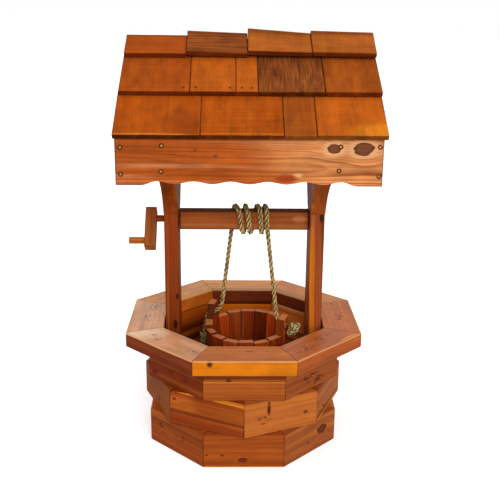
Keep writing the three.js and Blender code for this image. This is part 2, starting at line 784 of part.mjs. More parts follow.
function bucketStaves() {
  const staves = [];
  for (let index = 0; index < stave_count; index += 1) {
    staves.push(stave(index));
  }
  const hole_z = bucket_height + ear_rise - ear_hole_drop;
  const hole_reach = staveOuterAt(hole_z) - stave_thick / 2;
  const half_bore = stave_thick + cut_overrun;
  const holes = [0, Math.PI].map((turn) => {
    const bore = roundAlongX(ear_hole_across / 2, -half_bore, half_bore);
    bore.rotateY(ear_hole_slant);
    bore.translate(hole_reach, 0, hole_z);
    return bore.rotateZ(turn);
  });
  return cutFrom(joined(staves), holes);
}
piece(bucket, 'bucket_staves', bucketStaves(), bucket_cedar);

function bucketBase() {
  const toCorner = (z) => (staveOuterAt(z) - stave_thick - seat_gap) / Math.cos(half_stave);
  const low = toCorner(bucket_base_lift);
  const high = toCorner(bucket_base_lift + bucket_base_thick);
  const disc = new THREE.CylinderGeometry(high, low, bucket_base_thick, stave_count);
  disc.rotateX(Math.PI / 2);
  disc.rotateZ(Math.PI / 2 + half_stave);
  return disc.translate(0, 0, bucket_base_lift + bucket_base_thick / 2);
}
piece(bucket, 'bucket_base', bucketBase(), bucket_cedar);

// The knots that stop the rope outside the ears.
function knot(across, high) {
  const ball = new THREE.SphereGeometry(1, 16, 10);
  ball.rotateX(Math.PI / 2);
  return ball.scale(across / 2, across / 2, high / 2);
}
piece(well, 'right_knot', knot(knot_across, knot_height), rope_fibre).position.set(...right_knot_place);
const tail_knot = knot(tail_knot_across, tail_knot_height);
piece(well, 'left_knot', tail_knot, rope_fibre).position.set(...left_knot_place);

export default well;
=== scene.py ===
import math

import bpy
from mathutils import Matrix, Vector, noise


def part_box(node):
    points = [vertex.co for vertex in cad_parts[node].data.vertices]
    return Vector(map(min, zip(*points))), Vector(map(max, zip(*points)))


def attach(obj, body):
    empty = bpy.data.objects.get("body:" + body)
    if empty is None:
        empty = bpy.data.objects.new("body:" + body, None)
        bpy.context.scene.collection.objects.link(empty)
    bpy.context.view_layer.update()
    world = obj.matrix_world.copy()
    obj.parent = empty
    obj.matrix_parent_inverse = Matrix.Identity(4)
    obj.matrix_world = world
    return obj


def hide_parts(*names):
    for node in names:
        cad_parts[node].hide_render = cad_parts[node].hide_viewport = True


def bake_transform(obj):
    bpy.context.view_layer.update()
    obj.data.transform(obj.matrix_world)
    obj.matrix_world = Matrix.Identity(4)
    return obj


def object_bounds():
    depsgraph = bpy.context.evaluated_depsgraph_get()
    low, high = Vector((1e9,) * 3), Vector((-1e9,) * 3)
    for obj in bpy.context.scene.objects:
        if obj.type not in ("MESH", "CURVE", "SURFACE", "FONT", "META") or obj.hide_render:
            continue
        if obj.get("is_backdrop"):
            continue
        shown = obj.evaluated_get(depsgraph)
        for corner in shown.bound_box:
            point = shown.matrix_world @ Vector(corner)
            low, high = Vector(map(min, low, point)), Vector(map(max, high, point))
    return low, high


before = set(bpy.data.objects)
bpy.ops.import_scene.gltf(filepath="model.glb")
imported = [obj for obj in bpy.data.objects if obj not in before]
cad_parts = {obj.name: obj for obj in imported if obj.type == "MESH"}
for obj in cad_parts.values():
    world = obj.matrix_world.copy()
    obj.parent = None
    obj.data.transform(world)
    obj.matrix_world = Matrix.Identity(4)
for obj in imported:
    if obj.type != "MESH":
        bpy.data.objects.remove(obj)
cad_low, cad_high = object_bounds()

# The view and the studio. The camera stands in front of the well, a little above its ridge, and looks down
# towards the rim, as it did for the photograph. A pale floor, an even pale room and three broad, soft lamps
# light it plainly.
scene = bpy.context.scene
scene.view_settings.view_transform = "Standard"
photo_side = 500
camera_place = Vector((-0.034766, -2.044364, 1.098354))
camera_turn = math.radians(1.416)
camera_dip = math.radians(16.466)
camera_tilt = math.radians(0.66)
camera_focus = 818.908
camera_sensor = 36
room_light = 0.45
paper_pale = 0.55
paper_seen = 0.95
paper_glow = 0.42

ahead = Vector((
    math.sin(camera_turn) * math.cos(camera_dip),
    math.cos(camera_turn) * math.cos(camera_dip),
    -math.sin(camera_dip),
))
level_right = Vector((math.cos(camera_turn), -math.sin(camera_turn), 0))
level_up = level_right.cross(ahead)
tilted_right = math.cos(camera_tilt) * level_right + math.sin(camera_tilt) * level_up
tilted_up = -math.sin(camera_tilt) * level_right + math.cos(camera_tilt) * level_up
turned = Matrix((tilted_right, tilted_up, -ahead)).transposed().to_4x4()


def in_scene(name, data):
    """A new object of the scene."""
    thing = bpy.data.objects.new(name, data)
    scene.collection.objects.link(thing)
    return thing


def new_mesh(name, points, faces=()):
    """A new mesh object, its faces given as the numbers of their points."""
    mesh = bpy.data.meshes.new(name)
    mesh.from_pydata([tuple(point) for point in points], [], faces)
    return in_scene(name, mesh)


camera = in_scene("photo camera", bpy.data.cameras.new("photo camera"))
camera.matrix_world = Matrix.Translation(camera_place) @ turned
camera.data.sensor_width = camera_sensor
camera.data.lens = camera_focus / photo_side * camera_sensor
scene.camera = camera


class Nodes:
    """A node tree, with a short way to add each node that most of it is made of."""

    def __init__(self, tree):
        self.tree = tree

    def feed(self, node, inputs):
        """Sets inputs, each by its name or number, to a value or to another node's output."""
        for key, value in dict(inputs).items():
            if isinstance(value, bpy.types.NodeSocket):
                self.tree.links.new(value, node.inputs[key])
            else:
                node.inputs[key].default_value = value

    def add(self, kind, inputs=(), **settings):
        node = self.tree.nodes.new(kind)
        for name, value in settings.items():
            setattr(node, name, value)
        self.feed(node, inputs)
        return node

    def out(self, kind, inputs=(), **settings):
        return self.add(kind, inputs, **settings).outputs[0]

    def calc(self, operation, *terms):
        return self.out("ShaderNodeMath", enumerate(terms), operation=operation)

    def vector(self, operation, *terms):
        found = self.add("ShaderNodeVectorMath", enumerate(terms), operation=operation)
        return found.outputs["Value" if operation in ("LENGTH", "DOT_PRODUCT") else "Vector"]

    def shade(self, colour, light):
        return self.out("ShaderNodeVectorMath", {0: colour, "Scale": light}, operation="SCALE")

    def ramp(self, value, start, end, low=0.0, high=1.0, easing="LINEAR"):
        """Goes from low to high while the value goes from start to end."""
        return self.out("ShaderNodeMapRange", {
            "Value": value, "From Min": start, "From Max": end, "To Min": low, "To Max": high,
        }, interpolation_type=easing)

    def step(self, *values):
        return self.ramp(*values, easing="SMOOTHSTEP")

    def blend(self, share, first, second):
        return self.add("ShaderNodeMix", {0: share, 6: first, 7: second}, data_type="RGBA").outputs[2]

    def split(self, vector):
        return self.add("ShaderNodeSeparateXYZ", {0: vector}).outputs

    def join(self, *parts):
        return self.out("ShaderNodeCombineXYZ", enumerate(parts))

    def surface(self, inputs):
        shader = self.out("ShaderNodeBsdfPrincipled", inputs)
        self.add("ShaderNodeOutputMaterial", {"Surface": shader})


def new_material(name):
    """An empty material, and its nodes."""
    material = bpy.data.materials.new(name)
    material.use_nodes = True
    material.node_tree.nodes.clear()
    return material, Nodes(material.node_tree)


white = (1, 1, 1, 1)
room = bpy.data.worlds.new("studio room")
scene.world = room
room.use_nodes = True
room.node_tree.nodes.clear()
nodes = Nodes(room.node_tree)
seen = nodes.add("ShaderNodeLightPath").outputs
direct = nodes.calc("MAXIMUM", seen["Is Camera Ray"], seen["Is Glossy Ray"])
direct = nodes.calc("MAXIMUM", direct, seen["Is Transmission Ray"])
strength = nodes.ramp(direct, 0, 1, room_light, 1.0)
room_glow = nodes.out("ShaderNodeBackground", {"Color": white, "Strength": strength})
nodes.add("ShaderNodeOutputWorld", {"Surface": room_glow})

for name, strength, spread, towards in [
    ("front lamp", 1.8, 40, (-0.25, 0.88, -0.42)),
    ("top lamp", 0.6, 60, (0.1, 0.1, -1)),
    ("side lamp", 0.3, 50, (0.9, 0.4, -0.4)),
]:
    lamp = in_scene(name, bpy.data.lights.new(name, "SUN"))
    lamp.data.energy = strength
    lamp.data.angle = math.radians(spread)
    lamp.rotation_euler = Vector(towards).to_track_quat("-Z", "Y").to_euler()

floor_reach = 30
floor_corners = [(x * floor_reach, y * floor_reach, 0) for x, y in ((-1, -1), (1, -1), (1, 1), (-1, 1))]
studio_floor = new_mesh("studio_floor", floor_corners, [(0, 1, 2, 3)])
paper, nodes = new_material("pale paper")
seen = nodes.add("ShaderNodeLightPath").outputs["Is Camera Ray"]
nodes.surface({
    "Base Color": nodes.ramp(seen, 0, 1, paper_pale, paper_seen),
    "Emission Strength": nodes.calc("MULTIPLY", seen, paper_glow),
    "Emission Color": white, "Roughness": 1, "Specular IOR Level": 0,
})
studio_floor.data.materials.append(paper)
studio_floor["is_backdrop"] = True

# The planter's rings. Each is eight cedar two-by-fours on edge, mitred and nailed into an octagon, then oiled
# and sealed. The middle ring is turned by half a side, so its corners stand over the flats of the others.
half_side = math.pi / 8
lumber_thick = 0.038
lumber_wide = 0.091
lumber_half = (9, lumber_wide / 2, lumber_thick / 2)
lumber_easing = 0.003
mitre_gap = 0.0004
ring_inner = 0.204
ring_step = 0.0913
nowhere = (9, 9, 0.01)
far_off = (9, 9, 9)
socket_kinds = {1: "NodeSocketFloat", 3: "NodeSocketVector", 4: "NodeSocketColor"}


def tint(red, green, blue):
    """A colour given as it looks on a screen, 0 to 255, as the light it reflects."""
    shares = [value / 255 for value in (red, green, blue)]
    return tuple(s / 12.92 if s <= 0.04045 else ((s + 0.055) / 1.055) ** 2.4 for s in shares) + (1,)


cedar_red = tint(176, 84, 34)
cedar_late = tint(110, 42, 14)
cedar_sap = tint(232, 140, 34)
pitch_brown = tint(62, 28, 12)
knot_brown = tint(104, 48, 30)


def new_group(name, kind, asked, answers):
    """A node group's nodes and inputs. It asks for named values, and answers with named kinds of socket."""
    tree = bpy.data.node_groups.new(name, kind)
    for label, value in asked.items():
        if isinstance(value, str):
            tree.interface.new_socket(label, in_out="INPUT", socket_type=value)
        else:
            socket_kind = socket_kinds[len(value) if isinstance(value, tuple) else 1]
            tree.interface.new_socket(label, in_out="INPUT", socket_type=socket_kind).default_value = value
    for label, socket_kind in answers.items():
        tree.interface.new_socket(label, in_out="OUTPUT", socket_type=socket_kind)
    nodes = Nodes(tree)
    return nodes, nodes.add("NodeGroupInput").outputs


def grain_group():
    """The wood of one log: growth rings round its heart, sapwood, streaks, knots, pitch flecks and fibres.
    It also carries painted light and shade: patches put where light or shade falls, a painted shade that
    darkens it along the grain, and along its arrises a dark outline of painted shade, on the rim a pale
    painted highlight. A streak, patch, stain or knot that lies nowhere near the board doesn't show."""
    nodes, given = new_group("cedar grain", "ShaderNodeTree", {
        "Place": (0, 0, 0), "Log": (0, 0, 0), "Half Size": far_off, "Rough": 0.45, "Fade": 0.0,
        "Heart": (0, 0, -0.1), "Ring Gap": 0.0045, "Wander": 0.012, "Contrast": 0.4, "Banding": 1.0,
        "Mottle": 0.4, "Streaks": 0.85, "Blotches": 0.25, "Saw Marks": 0.0, "Flecks": 0.5, "Halo": 0.0,
        "Wood": cedar_red, "Late Wood": cedar_late, "Sapwood": cedar_sap,
        "Edge": 0.5, "Edge Width": 0.0035, "Edge Above": -9.0, "Edge Colour": pitch_brown,
        "Stain 1": far_off, "Stain 1 Reach": (1, 1, 1), "Stain 1 Colour": cedar_late,
        "Stain 2": far_off, "Stain 2 Reach": (1, 1, 1), "Stain 2 Colour": cedar_late,
        "Sap Streak": nowhere, "Dark Streak": nowhere, "Sap Patch": nowhere, "Fleck Patch 1": nowhere,
        "Fleck Patch 2": nowhere, "Knot 1": nowhere, "Knot 2": nowhere, "Knot 3": nowhere,
    }, {"Color": "NodeSocketColor", "Roughness": "NodeSocketFloat", "Height": "NodeSocketFloat"})
    calc, vector, step, blend = nodes.calc, nodes.vector, nodes.step, nodes.blend
    in_log = vector("ADD", given["Place"], given["Log"])

    def clouds(scale, detail):
        """Noise, with its scale in waves to the metre along the grain and across it."""
        stretched = vector("MULTIPLY", in_log, scale)
        return nodes.out("ShaderNodeTexNoise", {"Vector": stretched, "Scale": 1.0, "Detail": detail})

    def swing(value, reach, about):
        """A value with noise added to it, up or down by as much as half the reach."""
        return calc("MULTIPLY_ADD", calc("SUBTRACT", value, 0.5), reach, about)

    def apart(label, flatten, rod=False):
        """How far a point is from a given place or rod, in shares of its radius, and that radius."""
        first, second, radius = nodes.split(given[label])
        centre = nodes.join(0, first, second) if rod else nodes.join(first, second)
        offset = vector("MULTIPLY", vector("SUBTRACT", given["Place"], centre), flatten)
        return calc("DIVIDE", vector("LENGTH", offset), radius), radius

    drift, ripple, fibre = clouds((1.2, 6, 6), 2), clouds((9, 70, 70), 2), clouds((30, 1200, 1200), 2)
    band, hair = clouds((0.9, 46, 46), 4), clouds((2.5, 230, 230), 3)
    patch, speck = clouds((5, 17, 17), 1), clouds((65, 240, 240), 1)

    from_heart = vector("MULTIPLY", vector("SUBTRACT", given["Place"], given["Heart"]), (0, 1, 1))
    ring = swing(drift, given["Wander"], vector("LENGTH", from_heart))
    ring = swing(ripple, 0.0014, ring)
    knots = []
    for label in ("Knot 1", "Knot 2", "Knot 3"):
        near, size = apart(label, (0.66, 1, 0))
        push = calc("MULTIPLY", size, calc("EXPONENT", calc("MULTIPLY", calc("MULTIPLY", near, near), -0.2)))
        ring = calc("MULTIPLY_ADD", push, 1.1, ring)
        knots.append(swing(patch, 0.5, swing(ripple, 1.1, near)))
    years = calc("DIVIDE", ring, given["Ring Gap"])
    turn = calc("FRACT", years)
    year = nodes.add("ShaderNodeTexWhiteNoise", {"W": calc("FLOOR", years)}, noise_dimensions="1D")
    late = calc("MULTIPLY", step(turn, 0.25, 0.9), step(turn, 0.92, 1.0, 1.0, 0.0))
    strength = calc("MULTIPLY_ADD", year.outputs["Value"], 0.8, 0.3)
    share = calc("MULTIPLY", strength, calc("MULTIPLY", late, given["Contrast"]))
    share = calc("MULTIPLY_ADD", step(band, 0.5, 0.36), calc("MULTIPLY", given["Banding"], 0.3), share)

    def stained_or_lit(label, clean):
        """The clean colour, changed to the patch's colour where the point is within its reach, with a ragged
        border. Some patches are real stains; others are painted light and shade.
        """
        offset = vector("DIVIDE", vector("SUBTRACT", given["Place"], given[label]), given[f"{label} Reach"])
        near = swing(patch, 0.9, swing(band, 0.7, vector("LENGTH", offset)))
        return blend(step(near, 1.25, 0.6), clean, given[f"{label} Colour"])

    colour = blend(share, stained_or_lit("Stain 1", given["Wood"]), given["Late Wood"])
    rim, spot = apart("Sap Streak", (0, 1, 1), rod=True)[0], apart("Sap Patch", (0.5, 1, 0))[0]
    sap = step(swing(ripple, 0.8, rim), 1.1, 0.85)
    sap = calc("MAXIMUM", sap, step(swing(patch, 1.5, swing(band, 1.2, spot)), 1.25, 0.45, 0.0, 0.85))
    golden = calc("MULTIPLY", step(band, 0.52, 0.66), calc("MULTIPLY", given["Banding"], 0.34))
    pale = blend(calc("MULTIPLY", late, 0.25), given["Sapwood"], given["Wood"])
    colour = blend(calc("MAXIMUM", sap, golden), colour, pale)
    dusk = apart("Dark Streak", (0, 1, 1), rod=True)[0]
    colour = blend(step(swing(ripple, 1.2, dusk), 1.2, 0.5, 0.0, 0.8), colour, given["Late Wood"])
    colour = stained_or_lit("Stain 2", colour)

    light = swing(hair, given["Streaks"], swing(fibre, 0.22, swing(patch, given["Mottle"], 1.0)))
    light = swing(clouds((26, 44, 44), 3), given["Blotches"], light)
    light = swing(clouds((170, 5, 5), 1), given["Saw Marks"], light)
    along, _, above = nodes.split(given["Place"])
    # A painted shade that darkens the wood steadily along the grain, towards one end.
    light = calc("MULTIPLY", light, calc("MULTIPLY_ADD", along, given["Fade"], 1.0))
    colour = nodes.shade(colour, light)

    fleck = calc("MULTIPLY", step(speck, 0.66, 0.72), step(patch, 0.5, 0.6))
    fleck = calc("MULTIPLY", fleck, given["Flecks"])
    for label in ("Fleck Patch 1", "Fleck Patch 2"):
        near = apart(label, (0.5, 1, 0))[0]
        fleck = calc("MAXIMUM", fleck, calc("MULTIPLY", step(near, 1.2, 0.7), step(speck, 0.55, 0.62)))
    dark = calc("MULTIPLY", fleck, 0.85)
    colour = blend(dark, colour, pitch_brown)
    for near in knots:
        disc = step(near, 1.15, 0.92)
        heartwood = blend(step(near, 0.5, 0.85), knot_brown, pitch_brown)
        heartwood = blend(step(hair, 0.4, 0.6, 0.0, 0.4), heartwood, given["Late Wood"])
        colour = blend(calc("MULTIPLY", step(near, 2.4, 1.1), given["Halo"]), colour, given["Sapwood"])
        colour = blend(calc("MULTIPLY", disc, 0.92), colour, heartwood)
        dark = calc("MAXIMUM", dark, calc("MULTIPLY", disc, 0.6))

    # The Edge Colour along the arrises is painted light and shade: a dark colour is a painted shade outlining
    # the board, a pale one kept above Edge Above, as on the rim, a painted highlight.
    to_sides = vector("SUBTRACT", given["Half Size"], vector("ABSOLUTE", given["Place"]))
    to_end, to_edge, to_face = nodes.split(to_sides)
    corner = calc("MINIMUM", to_end, to_edge)
    arris = calc("MAXIMUM", corner, calc("MINIMUM", calc("MAXIMUM", to_end, to_edge), to_face))
    arris = calc("DIVIDE", swing(ripple, 0.003, arris), given["Edge Width"])
    above_edge_level = step(calc("SUBTRACT", above, given["Edge Above"]), -0.002, 0.002)
    painted_arris = calc("MULTIPLY", above_edge_level, calc("MULTIPLY", step(arris, 1.0, 0.1), given["Edge"]))
    colour = blend(painted_arris, colour, given["Edge Colour"])

    height = calc("MULTIPLY_ADD", late, -0.3, calc("MULTIPLY_ADD", hair, 0.6, calc("MULTIPLY", fibre, 0.35)))
    height = calc("MULTIPLY_ADD", dark, -0.7, height)
    rough = swing(band, 0.3, given["Rough"])
    nodes.add("NodeGroupOutput", {"Color": colour, "Roughness": rough, "Height": height})
    return nodes.tree


def mitre_group():
    """How near a point is to a board's two sawn ends, from 0 to 0.7 in the dark line of the joint."""
    nodes, given = new_group("mitre line", "ShaderNodeTree", {
        "Place": (0, 0, 0), "Facing": (0, 0, 0), "Reach": 0.0}, {"Mask": "NodeSocketFloat"})
    along, across, out = nodes.split(given["Place"])
    folded = nodes.join(nodes.calc("ABSOLUTE", along), across, out)
    inside = nodes.calc("SUBTRACT", given["Reach"], nodes.vector("DOT_PRODUCT", folded, given["Facing"]))
    nodes.add("NodeGroupOutput", {"Mask": nodes.step(inside, 0.0002, 0.0018, 0.7, 0.0)})
    return nodes.tree


cedar_grain = grain_group()
mitre_line = mitre_group()


def log_place(number):
    """Where in its log a board was cut, so that no two boards have the same grain."""
    return number * 1.618 % 7, number * 2.414 % 5, number * 3.303 % 6


def cedar(name, middle, along, out, log=0, joint=None, polish=0.0004, gloss=0.2, **cut):
    """Sealed cedar for one board: its middle, the way its grain runs and its face looks, and how it was cut.
    A stain, or a patch of painted light or shade, is its place, its reach and its colour. A colour of three
    parts is as it looks on a screen."""
    material, nodes = new_material(name)
    grain, face = Vector(along).normalized(), Vector(out).normalized()
    turned = Matrix((grain, face.cross(grain), face)).transposed().to_euler()
    body = nodes.add("ShaderNodeTexCoord").outputs["Object"]
    place = nodes.out("ShaderNodeMapping", {
        "Vector": body, "Location": Vector(middle), "Rotation": turned}, vector_type="TEXTURE")
    wood = nodes.add("ShaderNodeGroup", {"Place": place, "Log": log_place(log)}, node_tree=cedar_grain)
    colour, rough, height = wood.outputs
    for stain in cut.keys() & {"stain_1", "stain_2"}:
        cut[stain], cut[f"{stain}_reach"], cut[f"{stain}_colour"] = cut[stain]
    for label, value in cut.items():
        socket = wood.inputs[label.replace("_", " ").title()]
        socket.default_value = tint(*value) if socket.type == "RGBA" and len(value) == 3 else value
    if joint:
        seam = {"Place": place, "Facing": joint[0], "Reach": joint[1]}
        colour = nodes.blend(nodes.out("ShaderNodeGroup", seam, node_tree=mitre_line), colour, pitch_brown)
    bump = nodes.out("ShaderNodeBump", {"Height": height, "Strength": 0.6, "Distance": polish})
    nodes.surface({"Base Color": colour, "Roughness": rough, "Normal": bump, "Specular IOR Level": gloss})
    return material


def dress(node, material):
    """Gives a piece of the frame its finish."""
    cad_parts[node].material_slots[0].material = material


def dress_box(node, along, out, painted_arris=False, **cut):
    """Dresses a board of the frame in cedar about its box's middle. On a board whose arrises are painted,
    they get the arris colour, a dark outline of painted shade.
    """
    low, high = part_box(node)
    if painted_arris:
        grain, face = Vector(along).normalized(), Vector(out).normalized()
        cut["half_size"] = tuple(sum(abs(round(c)) * h for c, h in zip(way, (high - low) / 2))
                                 for way in (grain, face.cross(grain), face))
    dress(node, cedar(node.replace("_", " "), (low + high) / 2, along, out, **cut))


def side_ways(turn, side):
    """The way that one side of an octagon faces, and the way that its board runs."""
    angle = -math.pi / 2 + turn + side * 2 * half_side
    out = Vector((math.cos(angle), math.sin(angle), 0))
    return out, Vector((-out.y, out.x, 0))


ring_middle = ring_inner + lumber_thick / 2
edge_joint = ((math.cos(half_side), 0, -math.sin(half_side)), ring_middle * math.sin(half_side))
pale_cedar = tint(192, 108, 54)
lower_edge = (0, 0.0455, -0.019)
ring_cuts = {
    ("lower", 0): dict(
        wood=(168, 80, 26), flecks=0.0, fleck_patch_1=nowhere, sap_streak=(-0.0445, 0.019, 0.003),
        knot_1=(-0.002, -0.024, 0.0062), knot_2=(-0.0926, -0.011, 0.0022), knot_3=(-0.054, -0.0116, 0.0026)),
    ("lower", 7): dict(
        wood=(164, 78, 28), flecks=0.0, knot_1=nowhere, fleck_patch_1=(-0.055, 0.012, 0.007),
        fleck_patch_2=(0.014, 0.001, 0.013)),
    ("lower", 1): dict(
        wood=(172, 92, 44), flecks=0.2, knot_1=(0.048, 0.005, 0.0105), knot_2=(-0.0082, -0.012, 0.0026)),
    ("middle", 7): dict(
        wood=(148, 61, 20), flecks=0.0, banding=0.6, lean=-0.05, sap_streak=(0.0455, 0.019, 0.0045),
        dark_streak=(-0.01, 0.019, 0.005), knot_1=(-0.0886, 0.022, 0.003),
        fleck_patch_1=(-0.03, 0.016, 0.004), stain_1=((-0.075, 0.01, 0.019), (0.05, 0.03, 9), (172, 82, 28))),
    ("middle", 0): dict(
        wood=(192, 106, 46), late_wood=(150, 72, 32), flecks=0.0, knot_1=(0.067, -0.006, 0.004),
        fleck_patch_1=(-0.048, -0.006, 0.012),
        stain_1=((-0.0342, 0.022, 0.019), (0.0055, 0.019, 9), (86, 34, 16))),
    ("middle", 6): dict(wood=(162, 80, 20), knot_1=(0.007, -0.018, 0.006)),
    ("middle", 1): dict(wood=(186, 100, 46), dark_streak=(-0.03, 0.019, 0.005)),
    # On the front board, the dark streak across its upper part is a painted shadow of the rim.
    ("upper", 0): dict(
        wood=(176, 91, 33), flecks=0.0, fleck_patch_1=nowhere, dark_streak=(0.0165, 0.019, 0.005),
        knot_1=(-0.038, 0.008, 0.004), sap_streak=(0.0035, 0.019, 0.0012)),
    ("upper", 7): dict(
        wood=(130, 48, 13), flecks=0.1, knot_1=(-0.08, -0.026, 0.006), fleck_patch_1=(-0.012, -0.005, 0.007),
        fleck_patch_2=(0.038, -0.011, 0.009)),
    ("upper", 1): dict(
        wood=(170, 88, 40), flecks=0.2, knot_1=(0.022, -0.028, 0.005), fleck_patch_1=(-0.006, -0.014, 0.016),
        fleck_patch_2=(0.02, -0.028, 0.013)),
    # On the back board, the dark band along the top of its inner face is a painted shadow of the rim.
    ("upper", 4): dict(
        wood=(224, 112, 20), flecks=0.1, contrast=0.3, knot_1=nowhere, fleck_patch_1=nowhere,
        stain_1=(lower_edge, (9, 0.006, 9), (70, 26, 10))),
    # On the right-back board, the pale line along the top of its inner face is a painted highlight.
    ("upper", 3): dict(
        wood=(248, 136, 56), flecks=0.1, contrast=0.3, stain_1=(lower_edge, (9, 0.003, 9), (250, 170, 110))),
    ("upper", 5): dict(
        wood=(90, 16, 2), flecks=0.1, knot_1=nowhere,
        stain_1=((0, 0.05, -0.019), (9, 0.045, 9), (176, 78, 10))),
    ("upper", 6): dict(wood=(128, 34, 4), flecks=0.1),
}


def ring_material(ring, side, number, foot, turn):
    """One ring board's cedar. Its place in the log decides where its knot and flecks lie, unless ring_cuts
    does."""
    out, along = side_ways(turn, side)
    middle = out * ring_middle + Vector((0, 0, foot + lumber_wide / 2))
    a, b, c = [part % 1 for part in log_place(number)]
    cut = dict(
        # A dark outline of painted shade runs along its arrises.
        heart=(0, (b - 0.5) * 0.12, -0.06 - 0.06 * c), ring_gap=0.003 + 0.003 * a, flecks=0.7, edge=0.35,
        wood=pale_cedar if number % 3 == 0 else cedar_red, half_size=lumber_half,
        fleck_patch_1=((b - 0.5) * 0.14, (c - 0.5) * 0.06, 0.012),
        knot_1=((c - 0.5) * 0.16, (a - 0.5) * 0.07, 0.003 + 0.004 * b),
    )
    cut.update(ring_cuts.get((ring, side), {}))
    along = along + Vector((0, 0, cut.pop("lean", 0)))
    return cedar(f"{ring} ring cedar {side + 1}", middle, along, out, number, edge_joint, gloss=0.06, **cut)


def new_piece(name, points, faces, material, body, slot, *replaced):
    """A mesh piece on a body of the frame, with its finish, for the nodes that it replaces. Its slot is not
    used.
    """
    piece = new_mesh(name, points, faces)
    piece.data.materials.append(material)
    if body:
        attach(piece, body)
    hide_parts(*replaced)
    return piece


def eased_section(across, up, radius, steps=4):
    """The corners of a planed board's section, from (0, 0) to (across, up), with rounded arrises."""
    points = []
    for x, y, start in ((across, 0, -90), (across, up, 0), (0, up, 90), (0, 0, 180)):
        middle = (abs(x - radius), abs(y - radius))
        for i in range(steps + 1):
            angle = math.radians(start + 90 * i / steps)
            points.append((middle[0] + radius * math.cos(angle), middle[1] + radius * math.sin(angle)))
    return points


def mitred_board(foot, out, along):
    """The points and faces of one ring board, its ends sawn on the two mitre planes."""
    section = eased_section(lumber_thick, lumber_wide, lumber_easing)
    points = []
    for end in (-1, 1):
        for x, z in section:
            radial = ring_inner + x
            reach = end * (radial * math.tan(half_side) - mitre_gap / 2 / math.cos(half_side))
            points.append(out * radial + along * reach + Vector((0, 0, foot + z)))
    count = len(section)
    faces = [tuple(range(count)), tuple(range(2 * count - 1, count - 1, -1))]
    faces += [(i, i + count, (i + 1) % count + count, (i + 1) % count) for i in range(count)]
    return points, faces


for level, (ring, turn) in enumerate([("lower", 0), ("middle", half_side), ("upper", 0)]):
    for side in range(8):
        foot = level * ring_step
        look = ring_material(ring, side, level * 8 + side + 1, foot, turn)
        if ring == "upper":
            board = mitred_board(foot, *side_ways(turn, side))
            new_piece(f"upper_ring_board_{side + 1}", *board, look, "planter", "ring_cedar", "upper_ring")
        else:
            dress(f"{ring}_ring_board_{side + 1}", look)

# The rim. Eight more two-by-fours lie flat on the upper ring, overhang it inside and out, and are mitred so
# that their joints fall on its corners. Its top is the smoothest wood of the planter. The paler tops of the
# back and left boards and the pale line along the upper arrises are painted sheen and highlight, and the
# darker inner faces at the back are painted shade.
rim_outer = 0.2975
rim_foot = 3 * ring_step
rim_middle = rim_outer - lumber_wide / 2
rim_joint = ((math.cos(half_side), math.sin(half_side), 0), rim_middle * math.sin(half_side))
rim_top = (0, 0, 0.019)
red_outside = ((0, -0.0455, 0), (9, 0.004, 9), (178, 84, 30))
inner_face, inner_reach = (0, 0.0455, 0), (9, 0.003, 9)
# The darker inner faces of the back boards are painted shade.
painted_shade_inside = (inner_face, inner_reach, (112, 44, 16))
rim_cuts = {
    0: dict(
        wood=(206, 113, 42), sapwood=(214, 118, 6), flecks=0.0, wander=0.004, gloss=0.1,
        sap_streak=(-0.0505, -0.002, 0.0215), fleck_patch_1=(0.013, 0.012, 0.006),
        stain_2=((-0.082, -0.043, 0.011), (0.008, 0.006, 0.009), (84, 40, 18))),
    1: dict(
        wood=(198, 103, 40), flecks=0.3, stain_1=red_outside, fleck_patch_1=(0.03, 0.008, 0.014),
        fleck_patch_2=(-0.055, -0.006, 0.016),
        stain_2=((0.08, -0.037, 0.019), (0.04, 0.003, 0.006), (240, 160, 50))),
    2: dict(flecks=0.4, fleck_patch_1=(-0.01, -0.002, 0.014), fleck_patch_2=(0.1, 0.004, 0.01)),
    # The paler woods of the boards at the back and at the left are painted sheen on their tops.
    3: dict(wood=(218, 136, 64), flecks=0.2, stain_1=red_outside, stain_2=painted_shade_inside),
    4: dict(wood=(232, 154, 76), flecks=0.0, stain_1=red_outside, stain_2=painted_shade_inside),
    5: dict(
        wood=(226, 152, 82), flecks=0.2, stain_1=red_outside,
        stain_2=(inner_face, inner_reach, (196, 100, 24))),
    6: dict(
        wood=(228, 166, 120), flecks=0.5, gloss=0.3, stain_1=red_outside, fleck_patch_1=(0.015, 0.002, 0.014),
        fleck_patch_2=(-0.058, 0.012, 0.013)),
    # Its pale top and the near-white patch at its left end are painted sheen and reflection.
    7: dict(
        wood=(122, 38, 5), late_wood=(96, 34, 8), flecks=0.3, banding=0.3, gloss=0.12,
        fleck_patch_1=(-0.055, -0.012, 0.016), fleck_patch_2=(0.075, -0.006, 0.008),
        stain_1=(rim_top, (9, 0.056, 0.006), (228, 160, 114)),
        stain_2=((-0.13, 0, 0.019), (0.09, 0.056, 0.006), (250, 208, 168))),
}
for side in range(8):
    out, along = side_ways(0, side)
    middle = out * rim_middle + Vector((0, 0, rim_foot + lumber_thick / 2))
    number = 40 + side
    b, c = [part % 1 for part in log_place(number)[1:]]
    cut = dict(
        heart=(0, (b - 0.5) * 0.1, -0.07 - 0.05 * c), ring_gap=0.005, wood=(203, 109, 40),
        late_wood=(142, 70, 32), flecks=0.6, rough=0.38, gloss=0.15, contrast=0.25, streaks=0.7, mottle=0.6,
        # The pale colour along the top arrises is a painted highlight.
        blotches=0.5, edge=0.7, edge_width=0.0045, edge_colour=(236, 178, 118), edge_above=0.008,
        half_size=lumber_half,
    )
    cut.update(rim_cuts[side])
    look = cedar(f"rim cedar {side + 1}", middle, along, (0, 0, 1), number, rim_joint, **cut)
    dress(f"rim_board_{side + 1}", look)

# The floor of the planter. Three rough boards lie on the ground inside the lowest ring, with slots between
# them that let the water out.
for index in range(3):
    dress_box(f"floor_board_{index + 1}", (1, 0, 0), (0, 0, 1), log=60 + index, wood=(168, 112, 72),
              late_wood=(120, 70, 40), heart=(0, 0.03, -0.07), flecks=0.2)

